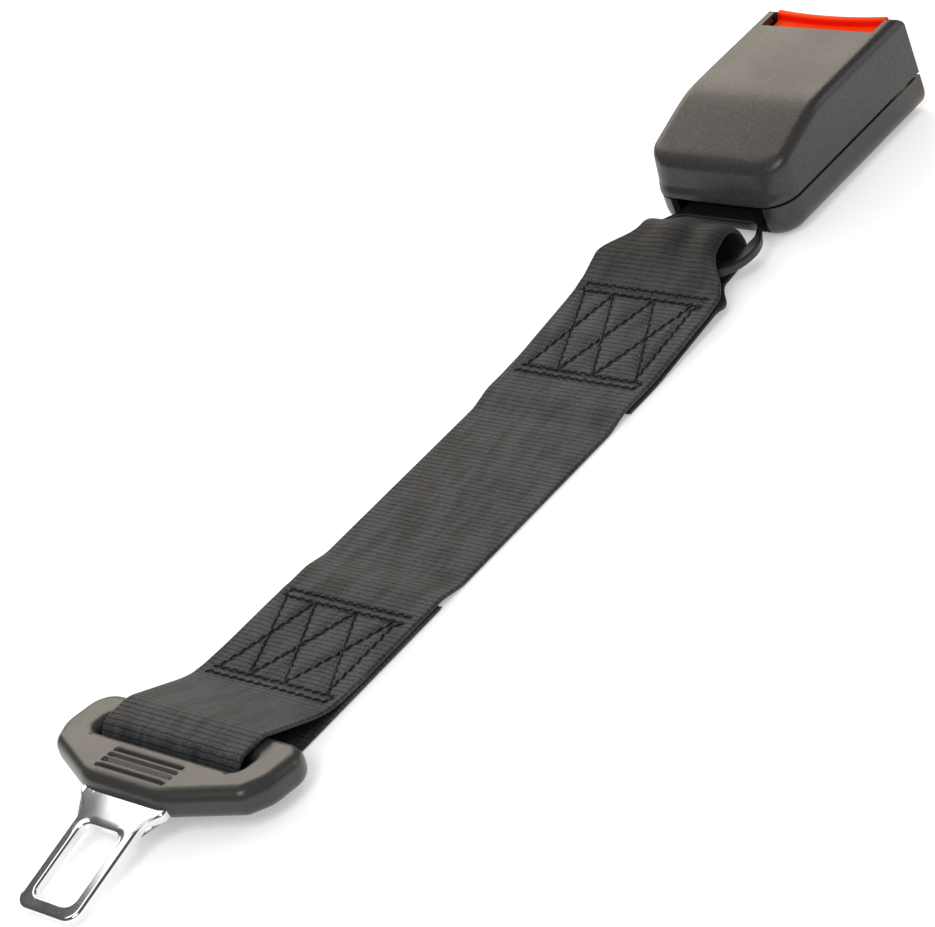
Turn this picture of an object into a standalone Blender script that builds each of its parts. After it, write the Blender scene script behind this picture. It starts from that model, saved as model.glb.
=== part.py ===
"""Seat belt extender: chromed tongue and cover, folded webbing, and buckle with its mechanism.

Metres, +Z up. The strap runs along X, with the tongue towards -X and the buckle's mouth towards +X.
The origin is on the floor, midway between the tip of the tongue and the mouth of the buckle.
"""

import math

import bmesh
import bpy
import numpy as np
from mathutils import Matrix, Vector

# Webbing
strap_width = 0.047
strap_thickness = 0.0012
layer_gap = 0.0003
bar_spacing = 0.1947
tongue_tail = 0.0627
buckle_tail = 0.054
gathered_width = 0.0285
gather_setback = 0.0112
gather_length = 0.0145
gather_delay = 0.005
crest_rise = 0.0098
crest_round = 0.006
fold_depth = 0.0006
fold_waves = 2
fold_phase = -1.0
edge_droop = 0.0015
straight_row = 0.016
gathered_row = 0.0022

# Stitching: double rows across both ends, two crossing zigzags and a line along one edge
tongue_box_start = 0.0227
tongue_box_end = 0.0552
buckle_box_start = 0.0465
buckle_box_end = 0.012
thread_width = 0.0009
thread_height = 0.0006
thread_gap = 0.00015
row_pitch = 0.0024
row_half = 0.0208
row_link_inset = 0.004
zigzags = ((0.0187, 0.010, -0.004, -0.017), (0.008, 0.020, -0.0186, -0.004))
edge_line = -0.0178

# Tongue cover
cover_thickness = 0.008
cover_half_width = 0.0357
cover_tilt = math.radians(8.5)
cover_edge_round = 0.0032
tongue_bar_width = 0.0084
tongue_slot_gap = 0.00655
tongue_slot_length = 0.0495
slot_edge_round = 0.0024
cover_front_length = 0.0151
cover_front_half = 0.0125
cover_flank_length = 0.0088
cover_flank_inset = 0.0034
groove_count = 4
groove_pitch = 0.0021
groove_length = 0.0236
groove_width = 0.0009
groove_depth = 0.0007
groove_setback = 0.0047

# Tongue plate
plate_thickness = 0.0026
plate_lining = 0.0014
plate_wall = 0.004
plate_offset = -0.0006
blade_length = 0.0359
blade_half_width = 0.0103
blade_root_half = 0.0143
blade_bend_inset = 0.0036
blade_tip_round = 0.004
window_length = 0.0209
window_half_width = 0.0067
tip_bar = 0.0036
bend_spread = 0.002

# Anchor plate
anchor_thickness = 0.0025
anchor_height = 0.0056
anchor_bar_width = 0.007
anchor_half_width = 0.0205
anchor_slot_half = 0.0165
anchor_slot_length = 0.0175
anchor_neck_half = 0.0138
anchor_tail = 0.0215
anchor_edge_round = 0.0006

# Buckle casing
casing_setback = 0.0223
casing_length = 0.0675
casing_half_width = 0.0229
parting_height = 0.0108
roof_height = 0.029
roof_fall = 0.0072
roof_fall_length = 0.0225
rear_lean = 0.003
casing_wall = 0.002
rear_corner_round = 0.0085
mouth_top_round = 0.003
mouth_low_round = 0.0025
top_edge_round = 0.003
bottom_edge_round = 0.006
roof_cutback = 0.0092
arm_thickness = 0.004
parting_gap = 0.0006
opening_room = 0.0018
support_thickness = 0.0016
tab_length = 0.006
tab_depth = 0.004
tab_room = 0.0017
spring_seat_thickness = 0.0018

# Release button
button_travel = 0.006
button_length = 0.0229
button_setback = 0.0003
button_side_wall = 0.0032
button_front_wall = 0.0055
button_top_wall = 0.0042
button_scoop = 0.0015
button_ear_length = 0.0085
button_bore_depth = 0.008
ramp_inner = 0.0118
ramp_foot = 0.0012

# Buckle mechanism
frame_thickness = 0.002
frame_side_room = 0.0034
frame_setback = 0.0045
frame_front_setback = 0.011
frame_corner = 0.0042
frame_wall_height = 0.0132
frame_wall_end = 0.0205
channel_height = 0.0032
pivot_setback = 0.0137
pivot_rise = 0.0096
pin_radius = 0.0015
pin_head = 0.0007
latch_thickness = 0.0025
latch_half_width = 0.0055
latch_travel = math.radians(9.5)
latch_reach = 0.0285
tooth_length = 0.0038
lug_length = 0.003
lug_reach = 0.0197
bridge_thickness = 0.0014
bridge_length = 0.0075
bridge_setback = 0.0095
ejector_travel = 0.0115
prong_width = 0.0042
ejector_back = 0.004
rivet_radius = 0.0025
rivet_head = 0.0011
rivet_setback = 0.0095
rivet_inset = 0.0085
spring_wire = 0.0005
spring_rise = 0.0022
latch_spring_radius = 0.0024
spring_spread = 0.011

# Clearances
seat_gap = 0.0003
slide_gap = 0.0004
turn_gap = 0.0001
free_gap = 0.0011
cut_extra = 0.002
overlap = 0.0005
skin = 0.0002
touch = 0.00001

# Heights and places that follow from the sizes above
strap_low = strap_thickness / 2
layer_pitch = strap_thickness + layer_gap
strap_double = strap_low + layer_pitch
slot_face = tongue_bar_width / 2 + tongue_slot_gap
bar_corner = math.hypot(
    tongue_bar_width / 2 - slot_edge_round, cover_thickness / 2 - slot_edge_round
)
bar_turn_radius = bar_corner + slot_edge_round
tongue_axis_height = strap_thickness + bar_turn_radius + turn_gap
strap_over_bar = tongue_axis_height + bar_turn_radius + turn_gap + strap_low
cover_front = -slot_face - cover_front_length
bend_x = cover_front + blade_bend_inset


def tilted(x, z):
    """A point of the tongue's own frame, as (x, height) seen from the tongue bar."""
    along = x * math.cos(cover_tilt) + z * math.sin(cover_tilt)
    up = -x * math.sin(cover_tilt) + z * math.cos(cover_tilt)
    return along, tongue_axis_height + up


bend_along, bend_height = tilted(bend_x, plate_offset)
blade_reach = math.hypot(blade_length, plate_thickness / 2)
blade_drop = math.asin(bend_height / blade_reach) - math.atan2(plate_thickness / 2, blade_length)
blade_bend = blade_drop + cover_tilt
tip_x = bend_along - blade_length * math.cos(blade_drop) - plate_thickness / 2 * math.sin(blade_drop)
mouth = casing_setback + casing_length
mouth_x = bar_spacing + mouth
tongue_x = -(tip_x + mouth_x) / 2
anchor_x = tongue_x + bar_spacing

anchor_low = anchor_height - anchor_thickness / 2
anchor_top = anchor_height + anchor_thickness / 2
base_low = anchor_top + seat_gap
base_top = base_low + frame_thickness
channel_low = base_top + seat_gap
channel_top = channel_low + channel_height
wall_top = base_low + frame_wall_height
wall_front = mouth - roof_cutback - frame_wall_end
pivot_x = casing_setback + pivot_setback
pivot_z = base_low + pivot_rise
latch_low = channel_top + 2 * seat_gap + slide_gap
latch_top = latch_low + latch_thickness
tooth_x = pivot_x + latch_reach - tooth_length
tooth_low = base_low + 0.4 * frame_thickness
lug_x = pivot_x + lug_reach
pivot_to_lug = lug_reach + lug_length
inner_half_width = casing_half_width - casing_wall
frame_half_width = inner_half_width - frame_side_room
frame_inner = frame_half_width - frame_thickness
rivet_x = casing_setback + rivet_setback
rivet_y = frame_half_width - rivet_inset
prong_inner = latch_half_width + 2 * slide_gap
prong_outer = prong_inner + prong_width
arm_inner = casing_half_width - arm_thickness
roof_inner = roof_height - casing_wall
roof_front = mouth - roof_cutback
spring_z = roof_inner - slide_gap - spring_rise
seat_x = roof_front - 0.0275
rear_tab_x = casing_setback + 0.0195
front_tab_x = roof_front - 0.026

# Collections and materials
for old in list(bpy.data.objects):
    bpy.data.objects.remove(old, do_unlink=True)
parts = bpy.data.collections.new("seat_belt_extender")
cutters = bpy.data.collections.new("cutters")
cutters.hide_render = True
for collection in (parts, cutters):
    bpy.context.scene.collection.children.link(collection)


def make_material(name, colour, roughness, metallic=0.0):
    material = bpy.data.materials.new(name)
    material.use_nodes = True
    shader = material.node_tree.nodes["Principled BSDF"]
    shader.inputs["Base Color"].default_value = (*colour, 1)
    shader.inputs["Roughness"].default_value = roughness
    shader.inputs["Metallic"].default_value = metallic
    material.diffuse_color = (*colour, 1)
    return material


black_plastic = (0.028, 0.027, 0.026)
black_steel = (0.02, 0.02, 0.02)
plated_steel = (0.55, 0.55, 0.56)
spring_steel = (0.45, 0.45, 0.46)


def make_axis(name, location, parent=None, rotation=(0, 0, 0)):
    axis = bpy.data.objects.new(name, None)
    axis.empty_display_size = 0.01
    axis.location = location
    axis.rotation_euler = rotation
    axis.parent = parent
    parts.objects.link(axis)
    return axis


def make_piece(name, mesh, material, parent=None, location=(0, 0, 0)):
    piece = bpy.data.objects.new(name, mesh)
    piece.parent = parent
    piece.location = location
    mesh.materials.clear()
    mesh.materials.append(material)
    parts.objects.link(piece)
    return piece


def make_cutter(mesh, like, name="cutter"):
    """A hidden tool that stands in the same frame as the piece it works on."""
    cutter = bpy.data.objects.new(f"{like.name}_{name}", mesh)
    cutter.parent = like.parent
    cutter.location = like.location
    cutter.hide_render = True
    cutter.display_type = "WIRE"
    cutters.objects.link(cutter)
    return cutter


def combine(piece, mesh, operation="DIFFERENCE"):
    modifier = piece.modifiers.new(operation.lower(), "BOOLEAN")
    modifier.operation = operation
    modifier.solver = "EXACT"
    modifier.object = make_cutter(mesh, piece, f"{operation.lower()}_{len(piece.modifiers)}")


def cut(piece, *meshes):
    for mesh in meshes:
        combine(piece, mesh)


def join(piece, *meshes):
    for mesh in meshes:
        combine(piece, mesh, "UNION")


def evaluated_mesh(obj):
    """The object's final mesh, closed; the object itself is removed."""
    bpy.context.view_layer.update()
    graph = bpy.context.evaluated_depsgraph_get()
    mesh = bpy.data.meshes.new_from_object(obj.evaluated_get(graph))
    mesh.transform(obj.matrix_basis)
    helpers = [m.object for m in obj.modifiers if m.type == "BOOLEAN"]
    for used in [obj, *helpers]:
        bpy.data.objects.remove(used, do_unlink=True)
    bm = bmesh.new()
    bm.from_mesh(mesh)
    bmesh.ops.remove_doubles(bm, verts=bm.verts, dist=1e-6)
    bmesh.ops.recalc_face_normals(bm, faces=bm.faces)
    bm.to_mesh(mesh)
    bm.free()
    return mesh


def rounded(corners, closed=True, step=math.radians(20)):
    """Points of an outline whose corners (x, y, radius) are arcs."""
    points = []
    count = len(corners)
    for i, (x, y, radius) in enumerate(corners):
        here = np.array([x, y])
        if radius == 0 or (not closed and i in (0, count - 1)):
            points.append(here)
            continue
        before = np.array(corners[i - 1][:2]) - here
        after = np.array(corners[(i + 1) % count][:2]) - here
        before /= np.linalg.norm(before)
        after /= np.linalg.norm(after)
        turn = math.pi - math.acos(np.clip(before @ after, -1, 1))
        if turn < 1e-3:
            points.append(here)
            continue
        middle = (before + after) / np.linalg.norm(before + after)
        centre = here + middle * radius / math.cos(turn / 2)
        start = here + before * radius * math.tan(turn / 2) - centre
        side = np.sign(before[1] * after[0] - before[0] * after[1])
        pieces = max(1, math.ceil(turn / step))
        for k in range(pieces + 1):
            angle = side * turn * k / pieces
            cos, sin = math.cos(angle), math.sin(angle)
            spun = (start[0] * cos - start[1] * sin, start[0] * sin + start[1] * cos)
            points.append(centre + spun)
    return points


def mirrored(corners):
    """A closed outline from its +y half, given from the -x end to the +x end."""
    return corners + [(x, -y, radius) for x, y, radius in reversed(corners)]


def flat_mesh(outlines, low, high, upright=False):
    """A slab between two heights; upright turns the outline into the XZ plane, along Y."""
    curve = bpy.data.curves.new("outline", "CURVE")
    curve.dimensions = "2D"
    curve.fill_mode = "BOTH"
    curve.extrude = (high - low) / 2
    for outline in outlines:
        spline = curve.splines.new("POLY")
        spline.points.add(len(outline) - 1)
        for point, (x, y) in zip(spline.points, outline):
            point.co = (x, y, 0, 1)
        spline.use_cyclic_u = True
    obj = bpy.data.objects.new("outline", curve)
    parts.objects.link(obj)
    middle = (low + high) / 2
    turn = Matrix.Rotation(math.pi / 2, 4, "X") if upright else Matrix.Identity(4)
    shift = (0, middle, 0) if upright else (0, 0, middle)
    obj.matrix_basis = Matrix.Translation(shift) @ turn
    return evaluated_mesh(obj)


def box_mesh(low, high):
    bm = bmesh.new()
    size = [h - l for l, h in zip(low, high)]
    place = Matrix.Translation([(l + h) / 2 for l, h in zip(low, high)])
    bmesh.ops.create_cube(bm, size=1, matrix=place @ Matrix.Diagonal((*size, 1)))
    mesh = bpy.data.meshes.new("box")
    bm.to_mesh(mesh)
    bm.free()
    return mesh


def pair_of_boxes(low, high):
    """A box and its mirror image across y = 0, as two meshes."""
    other_low = (low[0], -high[1], low[2])
    other_high = (high[0], -low[1], high[2])
    return box_mesh(low, high), box_mesh(other_low, other_high)


def rod_mesh(start, end, radius, sides=16):
    start, end = Vector(start), Vector(end)
    direction = end - start
    turn = Vector((0, 0, 1)).rotation_difference(direction).to_matrix().to_4x4()
    bm = bmesh.new()
    bmesh.ops.create_cone(
        bm,
        cap_ends=True,
        segments=sides,
        radius1=radius,
        radius2=radius,
        depth=direction.length,
        matrix=Matrix.Translation((start + end) / 2) @ turn,
    )
    mesh = bpy.data.meshes.new("rod")
    bm.to_mesh(mesh)
    bm.free()
    return mesh


def round_edges(mesh, choose, width, segments=3):
    """Rounds the edges of a mesh that choose(edge) picks, once flat neighbours are one face."""
    bm = bmesh.new()
    bm.from_mesh(mesh)
    bmesh.ops.dissolve_limit(bm, angle_limit=0.01, verts=bm.verts, edges=bm.edges)
    picked = [e for e in bm.edges if len(e.link_faces) == 2 and choose(e)]
    bmesh.ops.bevel(bm, geom=picked, offset=width, segments=segments, affect="EDGES", profile=0.5)
    bm.to_mesh(mesh)
    bm.free()
    return mesh


def coil(name, start, end, radius, wire, turns, material, parent=None, location=(0, 0, 0)):
    """A compression spring along X or Z: a helix whose ends close up."""
    start, end = np.array(start), np.array(end)
    per_turn = 10
    count = turns * per_turn
    length = np.linalg.norm(end - start) - wire
    axis = (end - start) / np.linalg.norm(end - start)
    across = np.array([0.0, 1.0, 0.0])
    third = np.cross(axis, across)
    curve = bpy.data.curves.new(name, "CURVE")
    curve.dimensions = "3D"
    curve.bevel_depth = wire / 2
    curve.bevel_resolution = 1
    curve.use_fill_caps = True
    spline = curve.splines.new("POLY")
    spline.points.add(count)
    for i, point in enumerate(spline.points):
        angle = 2 * math.pi * i / per_turn
        ring = radius * (math.cos(angle) * across + math.sin(angle) * third)
        place = start + axis * (wire / 2 + length * i / count) + ring
        point.co = (*place, 1)
    piece = bpy.data.objects.new(name, curve)
    curve.materials.append(material)
    piece.parent = parent
    piece.location = location
    parts.objects.link(piece)
    return piece


# The strap's centre line, in (x, height), from one hidden tail end to the other
def strap_centre_line():
    anchor = anchor_x - tongue_x
    loop_front = -(slot_face - 0.00105) + strap_low
    loop_round = 0.0045
    corners = [
        (tongue_tail, strap_low, 0),
        (loop_front, strap_low, loop_round),
        (loop_front, strap_over_bar, loop_round - 0.0005),
        (0.0015, strap_over_bar, 0.007),
        (0.0205, strap_double + 0.0005, 0.028),
        (0.033, strap_double, 0.06),
        (tongue_tail + 0.0013, strap_double, 0.012),
        (tongue_tail + 0.0083, strap_low, 0.012),
        (anchor - buckle_tail - 0.0082, strap_low, 0.012),
        (anchor - buckle_tail - 0.0012, strap_double, 0.012),
        (anchor - 0.042, strap_double, 0.06),
        (anchor - 0.013, anchor_height - 0.0006, 0.04),
        (anchor + 0.0125, anchor_height + crest_rise, crest_round),
        (anchor + 0.0155, strap_low + 0.001, 0.0045),
        (anchor + 0.004, strap_low, 0.02),
        (anchor - 0.0045, strap_low, 0.012),
        (anchor - 0.0125, anchor_height - 0.0006 - layer_pitch, 0.01),
        (anchor - 0.0418, strap_low, 0.06),
        (anchor - buckle_tail, strap_low, 0),
    ]
    return np.array(rounded(corners, closed=False, step=math.radians(15)))


def resampled(points, coarse, fine, fine_from):
    """More points on the straight runs, closer together beyond fine_from along X."""
    out = [points[0]]
    for before, after in zip(points[:-1], points[1:]):
        limit = fine if max(before[0], after[0]) > fine_from else coarse
        pieces = max(1, math.ceil(np.linalg.norm(after - before) / limit))
        out += [before + (after - before) * k / pieces for k in range(1, pieces + 1)]
    return np.array(out)


def smooth_step(t):
    t = np.clip(t, 0, 1)
    return t * t * (3 - 2 * t)


def gather(x, across):
    """How far the strap is gathered at a distance x past the tongue bar, from 0 to 1.

    It draws in later, and sooner done, towards its +y edge.
    """
    share = (1 + across) / 2
    start = bar_spacing - gather_setback + gather_delay * share
    return smooth_step((x - start) / (gather_length - gather_delay * share))


def strap_surface(place, normal, across):
    """Point of the strap's middle surface at a centre point, for across from -1 to 1.

    Where it is gathered it ripples a little, and its edges curl down.
    """
    drawn_in = gather(place[0], across)
    half = strap_width / 2 + (gathered_width - strap_width) / 2 * drawn_in
    crest = anchor_height + crest_rise
    strength = drawn_in * np.clip((place[1] - strap_low) / (crest - strap_low), 0, 1)
    fold = fold_depth * math.cos(math.pi * fold_waves * across + fold_phase)
    lift = strength * (fold - edge_droop * across**4)
    return place[0] + normal[0] * lift, across * half, place[1] + normal[1] * lift


def line_normals(line):
    along = np.gradient(line, axis=0)
    along /= np.linalg.norm(along, axis=1)[:, None]
    return np.stack([-along[:, 1], along[:, 0]], axis=1)


def build_webbing():
    line = resampled(strap_centre_line(), straight_row, gathered_row, bar_spacing - gather_setback)
    normals = line_normals(line)
    rows, columns = len(line) - 1, 12
    bm = bmesh.new()
    bmesh.ops.create_grid(bm, x_segments=rows, y_segments=columns, size=1)
    for vert in bm.verts:
        i = round((vert.co.x + 1) / 2 * rows)
        vert.co = strap_surface(line[i], normals[i], vert.co.y)
    bmesh.ops.recalc_face_normals(bm, faces=bm.faces)
    mesh = bpy.data.meshes.new("webbing")
    bm.to_mesh(mesh)
    bm.free()
    webbing = make_piece("webbing", mesh, make_material("webbing", (0.03, 0.03, 0.031), 0.75))
    webbing.location = (tongue_x, 0, 0)
    solidify = webbing.modifiers.new("thickness", "SOLIDIFY")
    solidify.thickness = strap_thickness
    solidify.offset = 0
    solidify.use_even_offset = True


def build_stitching(name, start, end, top_height):
    near, far = start + row_pitch, end - row_pitch
    bars = [((x, -row_half), (x, row_half)) for x in (start, near, far, end)]
    for y in (row_link_inset - row_half, row_half - row_link_inset):
        for x in (start, far):
            bars.append(((x, y), (x + row_pitch, y)))
    bars.append(((near, edge_line), (far, edge_line)))
    first, second = zigzags
    corners = [(near, first[0]), (far, first[1]), (near, first[2]), (far, first[3])]
    bars += list(zip(corners[:-1], corners[1:]))
    corners = [(far, second[1]), (near, second[0]), (far, second[3]), (near, second[2])]
    bars += list(zip(corners[:-1], corners[1:]))
    net = make_piece(name, bar_mesh(*bars[0]), make_material(name, (0.012, 0.012, 0.012), 0.6))
    join(net, *[bar_mesh(*bar) for bar in bars[1:]])
    material = net.data.materials[0]
    mesh = evaluated_mesh(net)
    bm = bmesh.new()
    bm.from_mesh(mesh)
    stations = 12
    for k in range(1, stations):
        x = start + (end - start) * k / stations
        everything = bm.verts[:] + bm.edges[:] + bm.faces[:]
        bmesh.ops.bisect_plane(bm, geom=everything, plane_co=(x, 0, 0), plane_no=(1, 0, 0), dist=1e-7)
    for vert in bm.verts:
        vert.co.z += top_height(vert.co.x) + thread_gap
    bmesh.ops.triangulate(bm, faces=bm.faces)
    bm.to_mesh(mesh)
    bm.free()
    make_piece(name, mesh, material, location=(tongue_x, 0, 0))


def bar_mesh(start, end):
    """A straight run of thread lying flat, with half its width past each end."""
    start, end = np.array(start), np.array(end)
    along = (end - start) / np.linalg.norm(end - start) * thread_width / 2
    side = np.array([-along[1], along[0]])
    ring = [start - along - side, end + along - side, end + along + side, start - along + side]
    return flat_mesh([ring], 0, thread_height)


def upper_layer():
    """Height of the strap's top side over the stitched stretches, as a function of x."""
    line = resampled(strap_centre_line(), 0.002, 0.002, 0)
    top = line[:, 1]
    forward = np.gradient(line[:, 0]) > 0
    keep = forward & (line[:, 0] > 0.004) & (line[:, 0] < bar_spacing - 0.006)
    x, z = line[keep, 0], top[keep]
    slope = np.gradient(z, x)
    return lambda place: float(
        np.interp(place, x, z) + strap_low * math.hypot(1, np.interp(place, x, slope))
    )


def build_stitches():
    top = upper_layer()
    build_stitching("tongue_end_stitching", tongue_box_start, tongue_box_end, top)
    near, far = bar_spacing - buckle_box_start, bar_spacing - buckle_box_end
    build_stitching("buckle_end_stitching", near, far, top)


# Tongue: everything stands in the frame of the tongue bar, which tilts with the cover
tongue_axis = make_axis("tongue_axis", (tongue_x, 0, tongue_axis_height), rotation=(0, cover_tilt, 0))


def tongue_plate_mesh(grow=0.0, with_window=True):
    """The steel stamping, or with grow the room that the cover keeps for it."""
    rear = tongue_bar_width / 2 - plate_lining + grow
    head_front = cover_front + 0.0062 - grow
    head_half = cover_half_width - plate_wall + grow
    shoulder = head_half - 0.005
    tip = bend_x - blade_length - (grow and 0.01)
    root = cover_front - 0.0006
    outline = [
        (tip, blade_half_width + grow, blade_tip_round),
        (root - 0.0035, blade_half_width + grow, 0.004),
        (root, blade_root_half + grow, 0.002),
        (head_front, blade_root_half + grow + 0.0005, 0.002),
        (-slot_face, head_half - grow * 0.4, 0.006),
        (rear - 0.0035, head_half, 0.004),
        (rear, shoulder, 0.004),
    ]
    holes = []
    slot_front = -slot_face - plate_lining + grow
    slot_rear = -tongue_bar_width / 2 + plate_lining - grow
    slot_half = tongue_slot_length / 2 + plate_lining - grow
    slot_round = 0.002
    holes.append(mirrored([(slot_front, slot_half, slot_round), (slot_rear, slot_half, slot_round)]))
    if with_window:
        window = bend_x - blade_length + tip_bar
        corner = 0.0028
        holes.append(
            mirrored(
                [(window, window_half_width, corner), (window + window_length, window_half_width, corner)]
            )
        )
    half = plate_thickness / 2 + grow
    loops = [rounded(mirrored(outline))] + [rounded(hole) for hole in holes]
    return bend_plate(flat_mesh(loops, plate_offset - half, plate_offset + half))


def bend_plate(mesh):
    """Bends the blade down about a line across the plate, over a short arc."""
    steps = 4
    start = bend_x + bend_spread / 2
    radius = bend_spread / blade_bend
    bm = bmesh.new()
    bm.from_mesh(mesh)
    places = [start - bend_spread * k / steps for k in range(steps + 1)]
    for x in places:
        everything = bm.verts[:] + bm.edges[:] + bm.faces[:]
        bmesh.ops.bisect_plane(bm, geom=everything, plane_co=(x, 0, 0), plane_no=(1, 0, 0), dist=1e-7)
    bmesh.ops.triangulate(bm, faces=bm.faces)
    for vert in bm.verts:
        past = start - vert.co.x
        if past <= 0:
            continue
        arc = min(past, bend_spread)
        angle = arc / radius
        off = vert.co.z - plate_offset
        x = start - radius * math.sin(angle) - (past - arc) * math.cos(angle)
        z = plate_offset - radius * (1 - math.cos(angle)) - (past - arc) * math.sin(angle)
        vert.co.x = x - off * math.sin(angle)
        vert.co.z = z + off * math.cos(angle)
    bm.to_mesh(mesh)
    bm.free()
    return mesh


def build_tongue():
    plate = make_piece(
        "tongue_plate",
        tongue_plate_mesh(),
        make_material("chromed_steel", plated_steel, 0.08, 1.0),
        parent=tongue_axis,
    )
    plate.data.shade_smooth()
    outline = [
        (cover_front, cover_front_half, 0.014),
        (cover_front + cover_flank_length, cover_half_width - cover_flank_inset, 0.005),
        (-slot_face, cover_half_width, 0.01),
        (tongue_bar_width / 2, cover_half_width, 0.007),
    ]
    slot_end = tongue_slot_length / 2
    slot = [(-slot_face, slot_end, 0.0022), (-tongue_bar_width / 2, slot_end, 0.0022)]
    half = cover_thickness / 2
    mesh = flat_mesh([rounded(mirrored(outline)), rounded(mirrored(slot))], -half, half)

    def is_rim(edge):
        return abs(edge.verts[0].co.z - edge.verts[1].co.z) < 1e-6 and edge.calc_face_angle(0) > 1

    def in_slot(edge):
        middle = (edge.verts[0].co + edge.verts[1].co) / 2
        return -slot_face - 1e-5 < middle.x < -tongue_bar_width / 2 + 1e-5 and abs(middle.y) < slot_end + 1e-5

    round_edges(mesh, lambda e: is_rim(e) and not in_slot(e), cover_edge_round)
    round_edges(mesh, lambda e: is_rim(e) and in_slot(e), slot_edge_round)
    cover = make_piece(
        "tongue_cover", mesh, make_material("cover_plastic", black_plastic, 0.5), parent=tongue_axis
    )
    cut(cover, tongue_plate_mesh(seat_gap, with_window=False))
    for k in range(groove_count):
        x = -slot_face - groove_setback - groove_pitch * k
        low = (x - groove_width / 2, -groove_length / 2, half - groove_depth)
        cut(cover, box_mesh(low, (x + groove_width / 2, groove_length / 2, half + cut_extra)))


# Buckle: everything stands in the frame of the anchor plate's bar, with z from the floor
buckle_axis = make_axis("buckle_axis", (anchor_x, 0, anchor_height))
floor_level = (0, 0, -anchor_height)


def buckle_piece(name, mesh, material, parent=None, location=floor_level):
    return make_piece(name, mesh, material, parent or buckle_axis, location)


def build_anchor_plate():
    end = casing_setback + anchor_tail
    rear = -anchor_bar_width / 2
    slot_front = anchor_bar_width / 2 + anchor_slot_length
    outline = [
        (rear, anchor_half_width, 0.013),
        (slot_front - 0.0075, anchor_half_width, 0.011),
        (casing_setback, anchor_neck_half, 0.006),
        (end, anchor_neck_half, 0.002),
    ]
    slot = [(-rear, anchor_slot_half, 0.0022), (slot_front, anchor_slot_half, 0.006)]
    holes = [rivet_hole(side) for side in (-1, 1)]
    loops = [rounded(mirrored(outline)), rounded(mirrored(slot)), *holes]
    mesh = flat_mesh(loops, anchor_low, anchor_top)
    inside = anchor_slot_half + 1e-4

    def is_bar_edge(edge):
        middle = (edge.verts[0].co + edge.verts[1].co) / 2
        level = abs(edge.verts[0].co.z - edge.verts[1].co.z) < 1e-6
        return level and middle.x < -rear + 1e-5 and abs(middle.y) < inside and edge.calc_face_angle(0) > 1

    round_edges(mesh, is_bar_edge, anchor_edge_round, segments=2)
    buckle_piece("anchor_plate", mesh, make_material("anchor_steel", black_steel, 0.35, 0.6))


def rivet_hole(side, radius=rivet_radius + turn_gap, count=16):
    turns = [2 * math.pi * k / count for k in range(count)]
    return [(rivet_x + radius * math.cos(a), side * rivet_y + radius * math.sin(a)) for a in turns]


def build_rivets():
    material = make_material("rivet_steel", plated_steel, 0.35, 1.0)
    low = anchor_low - seat_gap - rivet_head
    high = base_top + seat_gap + rivet_head
    for name, y in (("anchor_rivet_left", rivet_y), ("anchor_rivet_right", -rivet_y)):
        rivet = buckle_piece(name, rod_mesh((rivet_x, y, low), (rivet_x, y, high), rivet_radius), material)
        for bottom, top in ((low, low + rivet_head), (high - rivet_head, high)):
            join(rivet, rod_mesh((rivet_x, y, bottom), (rivet_x, y, top), 1.5 * rivet_radius))


# The channel that carries the latch: a base with a window, and two walls, tall at the rear
def build_frame():
    rear = casing_setback + frame_setback
    front = mouth - frame_front_setback
    base_half = frame_half_width - seat_gap
    window_half = latch_half_width + free_gap
    window_front = tooth_x + tooth_length + free_gap
    base = [(rear, base_half, 0.003), (front, base_half, 0.003)]
    window = [(tooth_x - free_gap, window_half, 0.001), (window_front, window_half, 0.001)]
    holes = [rivet_hole(side) for side in (-1, 1)]
    loops = [rounded(mirrored(base)), rounded(mirrored(window)), *holes]
    frame = buckle_piece(
        "buckle_frame",
        flat_mesh(loops, base_low, base_top),
        make_material("frame_steel", plated_steel, 0.4, 1.0),
    )
    wall_low = base_low + overlap
    wall_rear = rear + frame_corner
    wall_end = front - frame_corner
    step = channel_top + 0.001
    side_outline = rounded(
        [
            (wall_rear, wall_low, 0),
            (wall_end, wall_low, 0),
            (wall_end, step, 0.0015),
            (wall_front, step, 0.0015),
            (wall_front, wall_top, 0.0015),
            (wall_rear, wall_top, 0.003),
        ]
    )
    for low, high in ((frame_inner, frame_half_width), (-frame_half_width, -frame_inner)):
        join(frame, flat_mesh([side_outline], low, high, upright=True))
    stop_half = 0.004
    join(frame, box_mesh((rear + overlap, -stop_half, wall_low), (stop_x, stop_half, step)))
    far = frame_half_width + cut_extra
    cut(frame, rod_mesh((pivot_x, -far, pivot_z), (pivot_x, far, pivot_z), pin_radius + turn_gap))


stop_x = casing_setback + frame_setback + frame_thickness


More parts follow.
